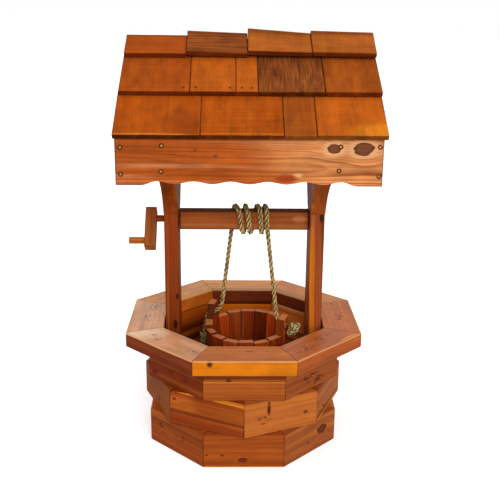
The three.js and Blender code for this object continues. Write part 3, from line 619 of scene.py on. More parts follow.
# The posts, the arms across their tops and the knee brackets in the corners between them. All are sawn from
# the redder heart of the tree, planed and sealed. The right post keeps a stripe of pale sapwood.
post_late = (92, 34, 12)
knee_woods = {"left": (162, 70, 20), "right": (188, 93, 36)}
knee_grain = Vector((0, 0.78, 0.62))
for post, lean, cut in [
    ("left_post", 0, dict(
        # The left post darkens towards its foot: painted shade.
        log=71, heart=(0, 0.02, -0.06), wood=(137, 58, 20), fade=1.9,
        stain_1=((0.0125, 0.0455, 0.0135), (0.0085, 0.006, 0.0045), (60, 22, 10)),
        stain_2=((-0.064, 0.0455, 0.007), (0.013, 0.006, 0.006), (60, 22, 10)))),
    ("right_post", 0.033, dict(
        log=72, heart=(0, -0.03, -0.08), wood=(163, 80, 40), sapwood=(206, 112, 20),
        sap_streak=(0.0455, -0.0075, 0.0068),
        stain_1=((0.223, 0.0455, 0.0165), (0.015, 0.006, 0.0055), (60, 26, 14)),
        stain_2=((0.27, 0.0455, -0.012), (0.09, 0.006, 0.02), (176, 96, 56)))),
]:
    # Each post's arrises get a dark outline of painted shade.
    dress_box(post, (-lean, 0, 1), (1, 0, lean), painted_arris=True, gloss=0.05, late_wood=post_late, flecks=0.3,
              **cut)
for number, side in enumerate(("left", "right")):
    dress_box(f"{side}_roof_arm", (0, 1, 0), (1, 0, 0), log=75 + number, wood=(147, 60, 18),
              late_wood=post_late)
    for face, way in (("front", -1), ("back", 1)):
        dress_box(f"{face}_{side}_knee", knee_grain * Vector((1, way, 1)), (1, 0, 0), log=80 + number + way,
                  flecks=0.8, gloss=0.08, streaks=1.0, wood=knee_woods[side], late_wood=post_late)

# The fascias close the front and the back of the roof, and hide its arms. Their lower edges are cut in
# shallow scallops. The gables close the ends, and two thin decks carry the shingles.
fascia_wood = (178, 86, 26)
fascia_late = (134, 56, 20)
fascia_cuts = {
    "front": dict(
        log=90, wood=(180, 85, 27), contrast=0.6, knot_1=(0.1843, 0.0305, 0.0092),
        knot_2=(0.2501, 0.031, 0.0125), sap_patch=(0.106, -0.03, 0.006),
        fleck_patch_1=(-0.1231, 0.0256, 0.004), fleck_patch_2=(-0.073, 0.0144, 0.004),
        # The pale right half is painted sheen.
        stain_1=((0.36, 0, 0), (0.34, 0.16, 9), (228, 146, 84)),
        stain_2=((0.08, -0.037, 0), (0.03, 0.011, 9), (158, 66, 28))),
    "back": dict(
        log=91, wood=fascia_wood, contrast=0.5, knot_1=(-0.12, -0.01, 0.009), sap_patch=(0.05, 0.02, 0.015)),
}
for face, way in (("front", -1), ("back", 1)):
    # The fascias' arrises get a dark outline of painted shade.
    dress_box(f"{face}_fascia", (-way, 0, 0), (0, way, 0), painted_arris=True, late_wood=fascia_late,
              sapwood=(240, 178, 126), heart=(0, -0.012, -0.05), ring_gap=0.0035, wander=0.04, flecks=0.0,
              halo=0.75, gloss=0.05, streaks=1.0, mottle=0.7, blotches=0.5, edge=0.6, **fascia_cuts[face])
    dress_box(f"{face}_roof_deck", (1, 0, 0), (0, 0, 1), log=94 + way, wood=(186, 140, 92),
              late_wood=(150, 104, 62), flecks=0.1)
for side, way in (("left", -1), ("right", 1)):
    dress_box(f"{side}_gable", (0, way, 0), (way, 0, 0), log=97 + way, wood=fascia_wood,
              late_wood=fascia_late, heart=(0, 0.02, -0.05), ring_gap=0.0055, flecks=0.3,
              knot_1=(0.05, -0.02, 0.008))

# The shingles. Three courses lie on each slope, sawn from cedar of mixed colour, thick at the lower end and
# thin under the course above. They are nailed through their lower ends, and never lie quite even.
roof_pitch = math.radians(35.35)
roof_shift = 0.006
roof_width = 0.6
deck_ridge = 1.018429
shingle_thick = 0.0127
shingle_tip = 0.006
shingle_length = 0.153261
shingle_shift = 0.002
shingle_side_gap = 0.0006
shingle_column = 0.006
shingle_rows = 18
ridge_middle = 0.0375
dent_depth = 0.0006
dent_waves = [(22, 4, 0, 1), (90, 9, 5, 0.5)]
ragged_depth = 0.0012
ragged_waves = 60
wobble_step = 0.37
grain_level = 0.008
nail_inset = 0.013
nail_up = 0.014
nail_sink = 0.0004
seat_gap = 0.0003
orange = tint(168, 76, 16)
deep_orange = tint(164, 74, 20)
bright_orange = tint(182, 88, 22)
tan_orange = tint(168, 88, 32)
rust = tint(154, 74, 22)
umber = tint(142, 73, 30)
grey_umber = tint(131, 68, 29)
dark_end = (84, 37, 9)
red_end = (112, 44, 14)
brown_end = (140, 74, 26)
flat = (0, 0, 0, 0)
shingle_courses = {
    "eave": (0.336522, seat_gap, 0, [
        (0.317, flat, orange, dark_end), (0.621, (0, 0, 0.05, 0.05), orange, red_end),
        (0.741, (0, 0, 0.02, 0.02), rust, brown_end), (1, (0, 0, 0.12, 0.12), bright_orange, brown_end),
    ]),
    "middle": (0.204261, 0.007727, 0.004, [
        (0.272, flat, deep_orange, red_end), (0.446, (0, 0, 0.05, 0.1), bright_orange, red_end),
        (0.53, (0, 0, 0.1, 0.1), bright_orange, red_end), (0.784, (0, 0, 0, 0.12), grey_umber, dark_end),
        (1, (0, 0, 0.12, 0.16), rust, red_end),
    ]),
    "ridge": (0.072, 0.009194, 0.007, [
        (0.251, flat, deep_orange, red_end), (0.493, (0.7, 0.4, 0.5, 0.2), umber, red_end),
        (0.746, (1.15, 0.5, 0.75, 0.5), tan_orange, red_end), (1, (0.9, 0.7, 0.6, 0.4), tan_orange, red_end),
    ]),
}
shingle_looks = {
    ("eave", 0): dict(
        saw_marks=0.2, stain_1=((-0.035, -0.05, 0), (0.045, 0.05, 9), (150, 66, 16)),
        # The pale line along its lower edge is a painted highlight.
        stain_2=((-0.074, 0.02, 0), (0.005, 0.09, 9), (196, 110, 34))),
    # The next shingle's pale lower edge is a painted highlight too.
    ("eave", 1): dict(saw_marks=0.45, stain_1=((-0.074, 0, 0), (0.008, 0.1, 9), (190, 96, 20))),
    ("eave", 3): dict(saw_marks=0.15, stain_1=((-0.062, -0.075, 0), (0.032, 0.07, 9), (206, 118, 28))),
    ("middle", 0): dict(saw_marks=0.4),
    ("middle", 1): dict(saw_marks=0.35),
    ("middle", 3): dict(streaks=2.2, contrast=0.6, late_wood=(70, 32, 14), wander=0.006, mottle=0.4),
    ("ridge", 0): dict(saw_marks=0.1),
    ("ridge", 1): dict(streaks=2.4, contrast=0.7, saw_marks=0.0, wander=0.006, late_wood=(70, 30, 12)),
    ("ridge", 2): dict(streaks=0.6),
}


def along_slope(run, out):
    """How far up the slope a point that far out from the deck may go, to stop short of the ridge."""
    return (out * math.sin(roof_pitch) - run) / math.cos(roof_pitch)


def bumps(*place):
    """Smooth noise from 0 to 1."""
    return noise.noise(Vector(place)) * 0.5 + 0.5


def shingle(left, right, low, rest, lifts, at_ridge, wobble):
    """A tapered board with an uneven face. Its lifts are those of its upper left, upper right, lower left and
    lower right corner. The answer is its points, its faces and the numbers of its lower end's faces."""
    high_left, high_right, low_left, low_right = [lift * shingle_thick for lift in lifts]
    columns, rows = max(4, round((right - left) / shingle_column)), shingle_rows
    points = []
    for level in (0, 1):
        for j in range(rows + 1):
            share = j / rows
            for i in range(columns + 1):
                aside = i / columns
                x = left + (right - left) * aside
                under_low = rest + low_left + (low_right - low_left) * aside
                under_high = seat_gap + high_left + (high_right - high_left) * aside
                out_high = under_high + level * (shingle_thick if at_ridge else shingle_tip)
                out_low = under_low + level * shingle_thick
                high = along_slope(seat_gap, out_high) if at_ridge else shingle_length - low
                out = out_low + (out_high - out_low) * share
                y = -low + (high + low) * share
                if level == 1:
                    out -= dent_depth * sum(weight * bumps(x * wide, share * long, wobble + shift)
                                            for wide, long, shift, weight in dent_waves)
                    if j == 0:
                        y += ragged_depth * bumps(x * ragged_waves, wobble, 3)
                points.append((x, y, out))
    row = columns + 1
    layer = row * (rows + 1)
    faces = []
    for i in range(columns):
        for a, b in ((i, i + 1), (rows * row + i + 1, rows * row + i)):
            faces.append((a, b, b + layer, a + layer))
    for j in range(rows):
        for i in range(columns):
            a = j * row + i
            faces.append((a, a + row, a + row + 1, a + 1))
            faces.append((a + layer, a + layer + 1, a + layer + row + 1, a + layer + row))
        for a, b in (((j + 1) * row, j * row), (j * row + columns, (j + 1) * row + columns)):
            faces.append((a, b, b + layer, a + layer))
    return points, faces, [2 * i for i in range(columns)]


def slope_place(face):
    """The turn and shift from a slope's own plane, its upper edge along x, to the roof."""
    about = Matrix.Rotation(math.pi, 4, "Z") if face == "back" else Matrix.Identity(4)
    return (Matrix.Translation((roof_shift, 0, 0)) @ about @ Matrix.Translation((0, 0, deck_ridge))
            @ Matrix.Rotation(roof_pitch, 4, "X"))


def soften(piece, width, segments=2):
    """Rounds a piece's arrises, as planing and handling do."""
    bevel = piece.modifiers.new("eased arrises", "BEVEL")
    bevel.width, bevel.segments = width, segments
    bevel.limit_method, bevel.angle_limit = "ANGLE", math.radians(40)
    bevel.harden_normals = False


def shingle_end(share, first, way):
    """The place across the slope of a shingle's side, a little short of its neighbour."""
    return way * ((share - 0.5) * roof_width + shingle_shift + first * shingle_side_gap * (0 < share < 1))


nail_places = {"front": [], "back": []}
shingle_number = 0
for face, way in (("front", 1), ("back", -1)):
    placed = slope_place(face)
    grain, out = [(placed.to_3x3() @ Vector(axis)).normalized() for axis in ((0, 1, 0), (0, 0, 1))]
    for course, (low, rest, start, boards) in shingle_courses.items():
        at_ridge = course == "ridge"
        for number, (end, lifts, wood, end_wood) in enumerate(boards):
            shingle_number += 1
            left, right = sorted((shingle_end(start, 1, way), shingle_end(end, -1, way)))
            start = end
            if way < 0:
                lifts = (lifts[1], lifts[0], lifts[3], lifts[2])
            wobble = shingle_number * wobble_step
            points, faces, butt = shingle(left, right, low, rest, lifts, at_ridge, wobble)
            half_long, half_wide = ridge_middle if at_ridge else shingle_length / 2, (right - left) / 2
            middle = placed @ Vector(((left + right) / 2, half_long - low, grain_level))
            run = grain.cross(out) * way if at_ridge else grain
            cut = dict(
                log=120 + shingle_number, late_wood=tuple(c * 0.5 for c in wood[:3]) + (1,),
                heart=(0, 0.3, -0.06), ring_gap=0.003, contrast=0.25, banding=0.15, flecks=0.1, wander=0.008,
                # A dark outline of painted shade runs along each shingle's arrises.
                rough=0.65, saw_marks=0.3, mottle=0.6, blotches=0.7, streaks=0.4, edge=0.4, edge_width=0.0022,
                half_size=(half_wide, half_long, 0) if at_ridge else (half_long, half_wide, 0),
            )
            cut.update(shingle_looks.get((course, number), {}))
            label = f"{face} {course} shingle {number + 1}"
            look = cedar(label, middle, run, out, wood=wood, polish=0.0006, gloss=0.02, **cut)
            cut.update(late_wood=pitch_brown, contrast=0.6, half_size=far_off)
            cut = {key: value for key, value in cut.items() if key not in ("stain_1", "stain_2")}
            end_look = cedar(f"{label} end", middle, run, out, wood=end_wood, polish=0.0008, gloss=0.0, **cut)
            points = [placed @ Vector(point) for point in points]
            piece = new_piece(label.replace(" ", "_"), points, faces, look, "planter", "shingle_cedar",
                              f"{face}_{course}_shingles")
            piece.data.materials.append(end_look)
            for index in butt:
                piece.data.polygons[index].material_index = 1
            soften(piece, 0.0009)
            if course == "middle" and number < 3:
                top = rest + shingle_thick * (1 + max(lifts[2:])) - nail_sink
                for x in (left + nail_inset, right - nail_inset)[number == 0:]:
                    nail_places[face].append((placed @ Vector((x, -low + nail_up, top)), out))

# The screws and nails. Bronze wood screws hold the fascias to the gables and arms, and the knees to the
# posts. Small nails hold the shingles. Both stand in shallow countersinks, whose shade is painted as a thin
# dark disc round each head.


def metal(name, colour, roughness, metallic=1):
    """A tarnished metal. Where it isn't metallic, it serves for the rust of the nail heads and for the
    painted shade of the countersinks round the heads.
    """
    material, nodes = new_material(name)
    body = nodes.add("ShaderNodeTexCoord").outputs["Object"]
    tarnish = nodes.out("ShaderNodeTexNoise", {"Vector": body, "Scale": 420.0, "Detail": 3.0})
    tarnished = tuple(c * 0.45 for c in colour[:3]) + (1,)
    nodes.surface({
        "Base Color": nodes.blend(nodes.ramp(tarnish, 0.35, 0.7), colour, tarnished), "Metallic": metallic,
        "Roughness": nodes.ramp(tarnish, 0, 1, roughness - 0.1, roughness + 0.15), "Specular IOR Level": 0.1,
    })
    return material


bronze = metal("bronze screw", tint(214, 150, 80), 0.4)
# The shade in the countersinks is painted, as a thin dark disc round each head.
countersink_shade = metal("painted countersink shade", tint(58, 26, 10), 0.8, 0)
rusty_nail = metal("rusty nail", tint(110, 44, 16), 0.8, 0)


def merge(nodes, *shapes):
    joined = nodes.add("GeometryNodeJoinGeometry")
    for shape in shapes:
        nodes.feed(joined, {0: shape})
    return joined.outputs[0]


def named(nodes, name, kind="FLOAT"):
    return nodes.out("GeometryNodeInputNamedAttribute", {"Name": name}, data_type=kind)


def head_tree():
    """Round heads on points: each is a low dome with a crossed recess, and faces its point's way."""
    nodes, given = new_group("screw heads", "GeometryNodeTree", {
        "Geometry": "NodeSocketGeometry", "Head Radius": 0.004, "Head Height": 0.0012, "Recess Width": 0.0011,
        "Recess Reach": 0.0048, "Recess Depth": 0.0009, "Rim Radius": 0.0056, "Rim Height": 0.0002,
        "Material": "NodeSocketMaterial", "Rim Material": "NodeSocketMaterial",
    }, {"Geometry": "NodeSocketGeometry"})

    def moved(shape, rise):
        return nodes.out("GeometryNodeTransform", {"Geometry": shape, "Translation": nodes.join(0, 0, rise)})

    cone = nodes.out("GeometryNodeMeshCone", {
        "Vertices": 20, "Side Segments": 2, "Radius Top": nodes.calc("MULTIPLY", given["Head Radius"], 0.72),
        "Radius Bottom": given["Head Radius"], "Depth": given["Head Height"]})
    cone = moved(cone, nodes.calc("MULTIPLY", given["Head Height"], -0.5))
    sizes = [("Recess Reach", "Recess Width"), ("Recess Width", "Recess Reach")]
    slots = [nodes.out("GeometryNodeMeshCube", {
        "Size": nodes.join(given[across], given[up], given["Recess Depth"])}) for across, up in sizes]
    cutters = merge(nodes, *[moved(slot, given["Head Height"]) for slot in slots])
    head = nodes.out("GeometryNodeMeshBoolean", {"Mesh 1": cone, "Mesh 2": cutters}, operation="DIFFERENCE")
    head = nodes.out("GeometryNodeSetMaterial", {"Geometry": head, "Material": given["Material"]})
    # A thin disc round each head in the rim material: the painted shade of its countersink.
    rim = nodes.out("GeometryNodeMeshCylinder", {
        "Vertices": 24, "Radius": given["Rim Radius"], "Depth": given["Rim Height"]})
    rim = nodes.out("GeometryNodeSetMaterial", {"Geometry": rim, "Material": given["Rim Material"]})
    aligned = nodes.out("FunctionNodeAlignRotationToVector", {
        "Vector": named(nodes, "facing", "FLOAT_VECTOR")}, axis="Z")
    spun = nodes.out("FunctionNodeAxisAngleToRotation", {"Axis": (0, 0, 1), "Angle": named(nodes, "spin")})
    turned = nodes.out("FunctionNodeRotateRotation", {0: aligned, 1: spun}, rotation_space="LOCAL")
    placed = nodes.out("GeometryNodeInstanceOnPoints", {
        "Points": given["Geometry"], "Instance": merge(nodes, head, rim), "Rotation": turned})
    nodes.add("NodeGroupOutput", {0: nodes.out("GeometryNodeRealizeInstances", {0: placed})})
    return nodes.tree


heads = head_tree()


def plain_mesh(piece):
    """The mesh that a piece's modifiers make."""
    bpy.context.view_layer.update()
    return bpy.data.meshes.new_from_object(piece.evaluated_get(bpy.context.evaluated_depsgraph_get()))


def make_with(tree, piece, values):
    """Gives a piece the plain mesh that a tree makes of it, with its named inputs set."""
    maker = piece.modifiers.new("maker", "NODES")
    maker.node_group = tree
    for item in tree.interface.items_tree:
        if item.in_out == "INPUT" and item.name in values:
            maker[item.identifier] = values[item.name]
    mesh = plain_mesh(piece)
    piece.modifiers.remove(maker)
    piece.data = mesh


def fasteners(name, places, slot, **values):
    """One piece of screw or nail heads at the places given, each as a point and the way that it faces."""
    piece = new_mesh(name, [place for place, way in places])
    facing = piece.data.attributes.new("facing", "FLOAT_VECTOR", "POINT")
    facing.data.foreach_set("vector", [c for place, way in places for c in way])
    spin = piece.data.attributes.new("spin", "FLOAT", "POINT")
    spin.data.foreach_set("value", [index * 2.4 % 3.1 for index in range(len(places))])
    make_with(heads, piece, {label.replace("_", " ").title(): value for label, value in values.items()})
    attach(piece, "planter")


fascia_face = 0.269
front_screws = [
    (-0.1862, 0.8088), (-0.1886, 0.7519), (0.2054, 0.8093), (0.2033, 0.7559),
    (-0.2762, 0.8048), (-0.2769, 0.7455), (0.2919, 0.8091), (0.2923, 0.7438),
]
knee_screws = [(-0.1825, 0.0837, 0.6512), (0.1896, 0.0873, 0.656)]
knee_lean = (0.751, -0.66)
screw_places = []
for x, z in front_screws:
    screw_places.append((Vector((x, -fascia_face, z)), Vector((0, -1, 0))))
    screw_places.append((Vector((2 * roof_shift - x, fascia_face, z)), Vector((0, 1, 0))))
for x, y, z in knee_screws:
    for way in (-1, 1):
        screw_places.append((Vector((x, y * way, z)), Vector((0, knee_lean[0] * way, knee_lean[1]))))
fasteners("frame_screws", screw_places, "fascia_cedar", material=bronze, rim_material=countersink_shade)
for face in ("front", "back"):
    fasteners(f"{face}_shingle_nails", nail_places[face], "shingle_cedar", material=rusty_nail,
              rim_material=countersink_shade, head_radius=0.002, head_height=0.0004, recess_depth=0.0001,
              recess_reach=0.0006, recess_width=0.0002, rim_radius=0.0024)

# The roller and its crank. A square-cut cedar bar turns on dowels between the posts, with its long arrises
# rounded. The left dowel goes on through the post into the crank's arm, and another dowel is its handle.
dress_box("roller", (1, 0, 0), (0, -1, 0), painted_arris=True, log=201, wood=(176, 94, 44), late_wood=(120, 56, 26),
          heart=(0, 0.02, -0.07), flecks=0.1, gloss=0.0, sap_patch=(0.142, 0.004, 0.009),
          # Its arrises get a dark outline of painted shade, and its top face, which the roof shades, a paler
          # grey-brown of painted light.
          sapwood=(206, 132, 82), edge=0.85, edge_width=0.0045, edge_colour=(64, 34, 20),
          stain_1=((0, 0.0245, 0), (9, 0.0015, 9), (146, 106, 82)))
for node, log, grain, face, wood in [
    ("crank_arm", 219, (0, -0.64, -0.77), (-1, 0, 0), (172, 94, 40)),
    ("crank_handle", 222, (1, 0, 0), (0, -1, 0), (200, 108, 34)),
    ("crank_axle", 220, (1, 0, 0), (0, -1, 0), (160, 62, 24)),
    ("roller_pin", 220, (1, 0, 0), (0, -1, 0), (160, 62, 24)),
]:
    dress_box(node, grain, face, log=log, wood=wood, late_wood=(110, 50, 22), ring_gap=0.003, flecks=0.1,
              gloss=0.08, contrast=0.7)
soften(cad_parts["crank_arm"], 0.003, 3)

# The bucket. Sixteen tapered cedar staves are nailed round a wooden base and turned a little on its rope. Two
# of them rise into ears, each bored on a slant for the rope. The staves' tops were left a little uneven.
bucket_x = 0.01
bucket_turn = math.radians(-25)
bucket_foot = 0.1035
bucket_height = 0.18
bucket_foot_radius = 0.096
bucket_top_radius = 0.109
stave_thick = 0.018
stave_count = 16
stave_gap = 0.0006
ear_every = 8
ear_rise = 0.048
ear_top_share = 0.66
ear_hole_radius = 0.007
ear_hole_drop = 0.024
ear_hole_slant = math.radians(30)
bit_length = 0.045
bit_sides = 32
stave_steps = [-7, 2, 7, 8, 7, 6, 5, 2, 2, 8, -1, -4, -6, -4, -7, -4]
stave_tilts = [8, 0, 0, 1, 0, 0, 0, 0, -5, -2, 2, 1, 0, 1, 1, 0]
# Each stave's brightness: partly its own tone, partly painted light and shade, darkest on the back staves
# whose insides lie in the bucket's shade.
stave_light_and_shade = [1.7, 2.4, 1.9, 1.9, 0.5, 0.75, 0.75, 1.4, 0.75, 1.2, 1.0, 1.1, 1.6, 1.4, 1.7, 0.9]
stave_shifts = {8: -0.004}
stave_lean = (bucket_top_radius - bucket_foot_radius) / bucket_height
half_stave = math.pi / stave_count


def stave_tree():
    """Staves round a circle: a cuboid on each point, tapered and leaned to the bucket's side, as high as its
    point says."""
    nodes, given = new_group("staves", "GeometryNodeTree", {
        "Geometry": "NodeSocketGeometry", "Foot Radius": 0.096, "Lean": 0.07, "Thickness": 0.018,
        "Half Angle": 0.196, "Gap": 0.0006, "Ear Rise": 0.048, "Material": "NodeSocketMaterial",
    }, {"Geometry": "NodeSocketGeometry"})
    calc = nodes.calc
    block = nodes.out("GeometryNodeMeshCube", {
        "Size": (1, 1, 1), "Vertices X": 2, "Vertices Y": 4, "Vertices Z": 20})
    shape = nodes.out("GeometryNodeStoreNamedAttribute", {
        "Geometry": block, "Name": "share", "Value": nodes.out("GeometryNodeInputPosition"),
    }, data_type="FLOAT_VECTOR", domain="POINT")
    placed = nodes.out("GeometryNodeInstanceOnPoints", {"Points": given["Geometry"], "Instance": shape})
    whole = nodes.out("GeometryNodeRealizeInstances", {0: placed})
    through, aside, up = nodes.split(named(nodes, "share", "FLOAT_VECTOR"))
    top, angle, tilt, narrow, shift = [
        named(nodes, name) for name in ("top", "angle", "tilt", "narrow", "shift")]
    height = calc("MULTIPLY", calc("ADD", up, 0.5), top)
    on_ear = calc("SUBTRACT", height, calc("SUBTRACT", top, given["Ear Rise"]))
    on_ear = calc("MAXIMUM", calc("DIVIDE", on_ear, given["Ear Rise"]), 0.0)
    at_top = calc("GREATER_THAN", up, 0.49)
    height = calc("MULTIPLY_ADD", calc("MULTIPLY", aside, tilt), at_top, height)
    outer = calc("MULTIPLY_ADD", height, given["Lean"], given["Foot Radius"])
    radius = calc("SUBTRACT", outer, calc("MULTIPLY", calc("SUBTRACT", 0.5, through), given["Thickness"]))
    half_wide = calc("MULTIPLY", radius, calc("TANGENT", given["Half Angle"]))
    half_wide = calc("SUBTRACT", half_wide, calc("MULTIPLY", given["Gap"], 0.5))
    half_wide = calc("MULTIPLY", half_wide, calc("MULTIPLY_ADD", on_ear, narrow, 1.0))
    across = calc("MULTIPLY_ADD", calc("MULTIPLY", aside, 2.0), half_wide, calc("MULTIPLY", on_ear, shift))
    turned = nodes.out("ShaderNodeVectorRotate", {
        "Vector": nodes.join(radius, across, height), "Axis": (0, 0, 1), "Angle": angle})
    moved = nodes.out("GeometryNodeSetPosition", {"Geometry": whole, "Position": turned})
    dressed = nodes.out("GeometryNodeSetMaterial", {"Geometry": moved, "Material": given["Material"]})
    nodes.add("NodeGroupOutput", {0: dressed})
    return nodes.tree


def stave_cedar():
    """Sealed cedar whose grain runs up each stave, every stave from another place in the log, pale at its top
    end and dark in its seams. Each stave is made lighter or darker by its own tone together with painted
    light and shade."""
    material = cedar("stave cedar", (0, 0, 0), (0, 0, 1), (1, 0, 0), wood=(164, 60, 16),
                     late_wood=(78, 20, 5), ring_gap=0.006, heart=(0, 0.05, -0.12), contrast=0.8, flecks=0.15,
                     banding=0.7, gloss=0.08)
    nodes = Nodes(material.node_tree)
    wood, mapping, shader = [next(node for node in nodes.tree.nodes if node.type == kind)
                             for kind in ("GROUP", "MAPPING", "BSDF_PRINCIPLED")]
    number, light, share = [nodes.add("ShaderNodeAttribute", attribute_name=name).outputs
                            for name in ("stave", "light", "share")]
    chance = nodes.add("ShaderNodeTexWhiteNoise", {"W": number["Fac"]}, noise_dimensions="1D")
    apart = nodes.vector("MULTIPLY", chance.outputs["Color"], (0.3, 0.12, 0.12))
    nodes.feed(wood, {"Place": nodes.vector("ADD", mapping.outputs[0], apart)})
    # Each stave's own tone together with its painted light and shade.
    shaded = nodes.shade(wood.outputs["Color"], light["Fac"])
    upward = nodes.split(nodes.add("ShaderNodeTexCoord").outputs["Normal"])[2]
    ended = nodes.blend(nodes.ramp(upward, 0.45, 0.8, 0, 0.85), shaded, tint(214, 128, 72))
    aside = nodes.calc("ABSOLUTE", nodes.split(share["Vector"])[1])
    seamed = nodes.blend(nodes.ramp(aside, 0.43, 0.49, 0, 0.75), ended, pitch_brown)
    nodes.feed(shader, {"Base Color": seamed})
    return material


bucket_wall = new_mesh("bucket_wall", [(0, 0, 0)] * stave_count)
ears = [index % ear_every == 0 for index in range(stave_count)]
for label, values in [
    ("angle", [2 * index * half_stave for index in range(stave_count)]),
    ("top", [bucket_height + step / 1000 + ear_rise * ear for step, ear in zip(stave_steps, ears)]),
    ("stave", [index + 1.0 for index in range(stave_count)]),
    ("light", stave_light_and_shade),
    ("tilt", [tilt / 1000 for tilt in stave_tilts]),
    ("shift", [stave_shifts.get(index, 0) for index in range(stave_count)]),
    ("narrow", [(ear_top_share - 1) * ear for ear in ears]),
]:
    bucket_wall.data.attributes.new(label, "FLOAT", "POINT").data.foreach_set("value", values)
make_with(stave_tree(), bucket_wall, {
    "Foot Radius": bucket_foot_radius, "Lean": stave_lean, "Thickness": stave_thick, "Half Angle": half_stave,
    "Gap": stave_gap, "Ear Rise": ear_rise, "Material": stave_cedar(),
})
bucket_place = Matrix.Translation((bucket_x, 0, bucket_foot)) @ Matrix.Rotation(bucket_turn, 4, "Z")
bucket_wall.data.transform(bucket_place)


def bore(piece, radius, length, place):
    """Bores a round hole through a piece and leaves a plain mesh of one material."""
    sides = bit_sides
    points = [(radius * math.cos(2 * math.pi * k / sides), radius * math.sin(2 * math.pi * k / sides), z)
              for z in (-length / 2, length / 2) for k in range(sides)]
    faces = [tuple(range(sides))[::-1], tuple(range(sides, 2 * sides))]
    faces += [(k, (k + 1) % sides, (k + 1) % sides + sides, k + sides) for k in range(sides)]
    bit = new_mesh("bit", [place @ Vector(point) for point in points], faces)
    cut = piece.modifiers.new("bore", "BOOLEAN")
    cut.operation, cut.solver, cut.object = "DIFFERENCE", "EXACT", bit
    wood = next(material for material in piece.data.materials if material)
    piece.data = plain_mesh(piece)
    piece.data.materials.clear()
    piece.data.materials.append(wood)
    piece.data.polygons.foreach_set("material_index", [0] * len(piece.data.polygons))
    piece.modifiers.clear()
    bpy.data.objects.remove(bit)


hole_height = bucket_height + ear_rise - ear_hole_drop
hole_reach = bucket_foot_radius + stave_lean * hole_height - stave_thick / 2
for turn in (0, math.pi):
    way = (bucket_place @ Matrix.Rotation(turn, 4, "Z") @ Matrix.Translation((hole_reach, 0, hole_height))
           @ Matrix.Rotation(ear_hole_slant, 4, "Y") @ Matrix.Rotation(math.pi / 2, 4, "Y"))
    bore(bucket_wall, ear_hole_radius, bit_length, way)
soften(bucket_wall, 0.0012)
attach(bucket_wall, "bucket")
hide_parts("bucket_staves")
dress_box("bucket_base", (1, 0, 0), (0, 0, 1), log=240, wood=(128, 58, 28), late_wood=(84, 34, 16))

# The rope. One length of three-strand manila lies in four loops round the roller. Its two ends hang to the
# bucket, go out through the ears' holes and stop in knots. Its route is in millimetres.
rope_across = 0.012
wound_across = 0.0132
hung_across = 0.0114
squeezed_for = 0.03
rope_lay = 0.045
rope_step = 0.0016
strand_share = 2.1547
strand_bulge = 1.1
strand_sides = 12
spline_steps = 16
axle_height = 0.5775
roller_half_deep = 0.019
roller_half_high = 0.0245
roller_easing = 0.004
rope_gap = 0.0006
left_route = [
    (-31.5, 26.2, 552), (-34.6, 26.8, 525.6), (-37.8, 27.4, 499.1), (-40.9, 28, 472.7), (-44, 28.6, 446.3),
    (-47.2, 29.2, 419.8), (-50.3, 29.8, 393.4), (-53.4, 30.4, 367), (-56.6, 31, 340.6), (-58.3, 31.9, 332.4),
    (-61.7, 33.4, 325), (-66.6, 35.7, 318.6), (-72.7, 38.5, 313.6), (-77.9, 41, 310.2), (-84.3, 44, 306.2),
    (-90.1, 46.7, 302.4), (-92.9, 48, 300.2), (-95.2, 49.1, 297.4), (-96.9, 49.8, 294.2),
    (-97.9, 50.3, 290.6), (-100.8, 51.7, 275.9), (-103.6, 53, 261.3), (-106.4, 54.3, 246.6),
]
right_route = [
    (59.5, -26.2, 552), (62.8, -27.4, 523.6), (66.1, -28.5, 495.2), (69.4, -29.7, 466.8),
    (72.7, -30.8, 438.4), (76, -32, 410), (79.3, -33.1, 381.5), (82.7, -34.3, 353.1), (86, -35.4, 324.7),
    (86.7, -35.8, 321.4), (88.1, -36.4, 318.3), (90.1, -37.4, 315.6), (92.7, -38.5, 313.6),
    (98.8, -41.4, 309.6), (105.6, -44.6, 305.3), (112.4, -47.8, 301),
]
loop_foot_x = [-31.5, -0.5, 17.5, 45.5, 59.5]
loop_top_x = [-18.5, 4, 37.5, 55.5]
loop_steps = 24
side_steps = 6


def around_roller(step):
    """A point of the rope's middle line on its way round the roller's section, 24 steps a loop."""
    side, stage = step // side_steps % 4, step % side_steps
    half_y, half_z = roller_half_deep - roller_easing, roller_half_high - roller_easing
    bend = roller_easing + rope_gap + rope_across / 2
    corners = [(half_y, -half_z), (half_y, half_z), (-half_y, half_z), (-half_y, -half_z)]
    start, end = corners[side], corners[(side + 1) % 4]
    facing = side * math.pi / 2
    if stage < 2:
        share = (stage + 1) / 3
        return (start[0] + (end[0] - start[0]) * share + bend * math.cos(facing),
                start[1] + (end[1] - start[1]) * share + bend * math.sin(facing))
    angle = facing + (stage - 2) / 3 * math.pi / 2
    return end[0] + bend * math.cos(angle), end[1] + bend * math.sin(angle)


def winding_route():
    """The rope's middle line round the roller, from where one end leaves it to where the other does."""
    places = [(0, loop_foot_x[0])]
    for turn, x in enumerate(loop_top_x):
        places.append((turn * loop_steps + side_steps + 1, x))
        places.append((turn * loop_steps + 3 * side_steps, loop_foot_x[turn + 1]))
    points = []
    for step in range((len(loop_top_x) - 1) * loop_steps + 2 * side_steps + 2):
        after = next(i for i, place in enumerate(places) if place[0] >= step and place[0] > 0)
        (from_step, from_x), (to_step, to_x) = places[after - 1], places[after]
        x = from_x + (to_x - from_x) * (step - from_step) / (to_step - from_step)
        y, z = around_roller(step)
        points.append(Vector((x / 1000, y, axle_height + z)))
    return points


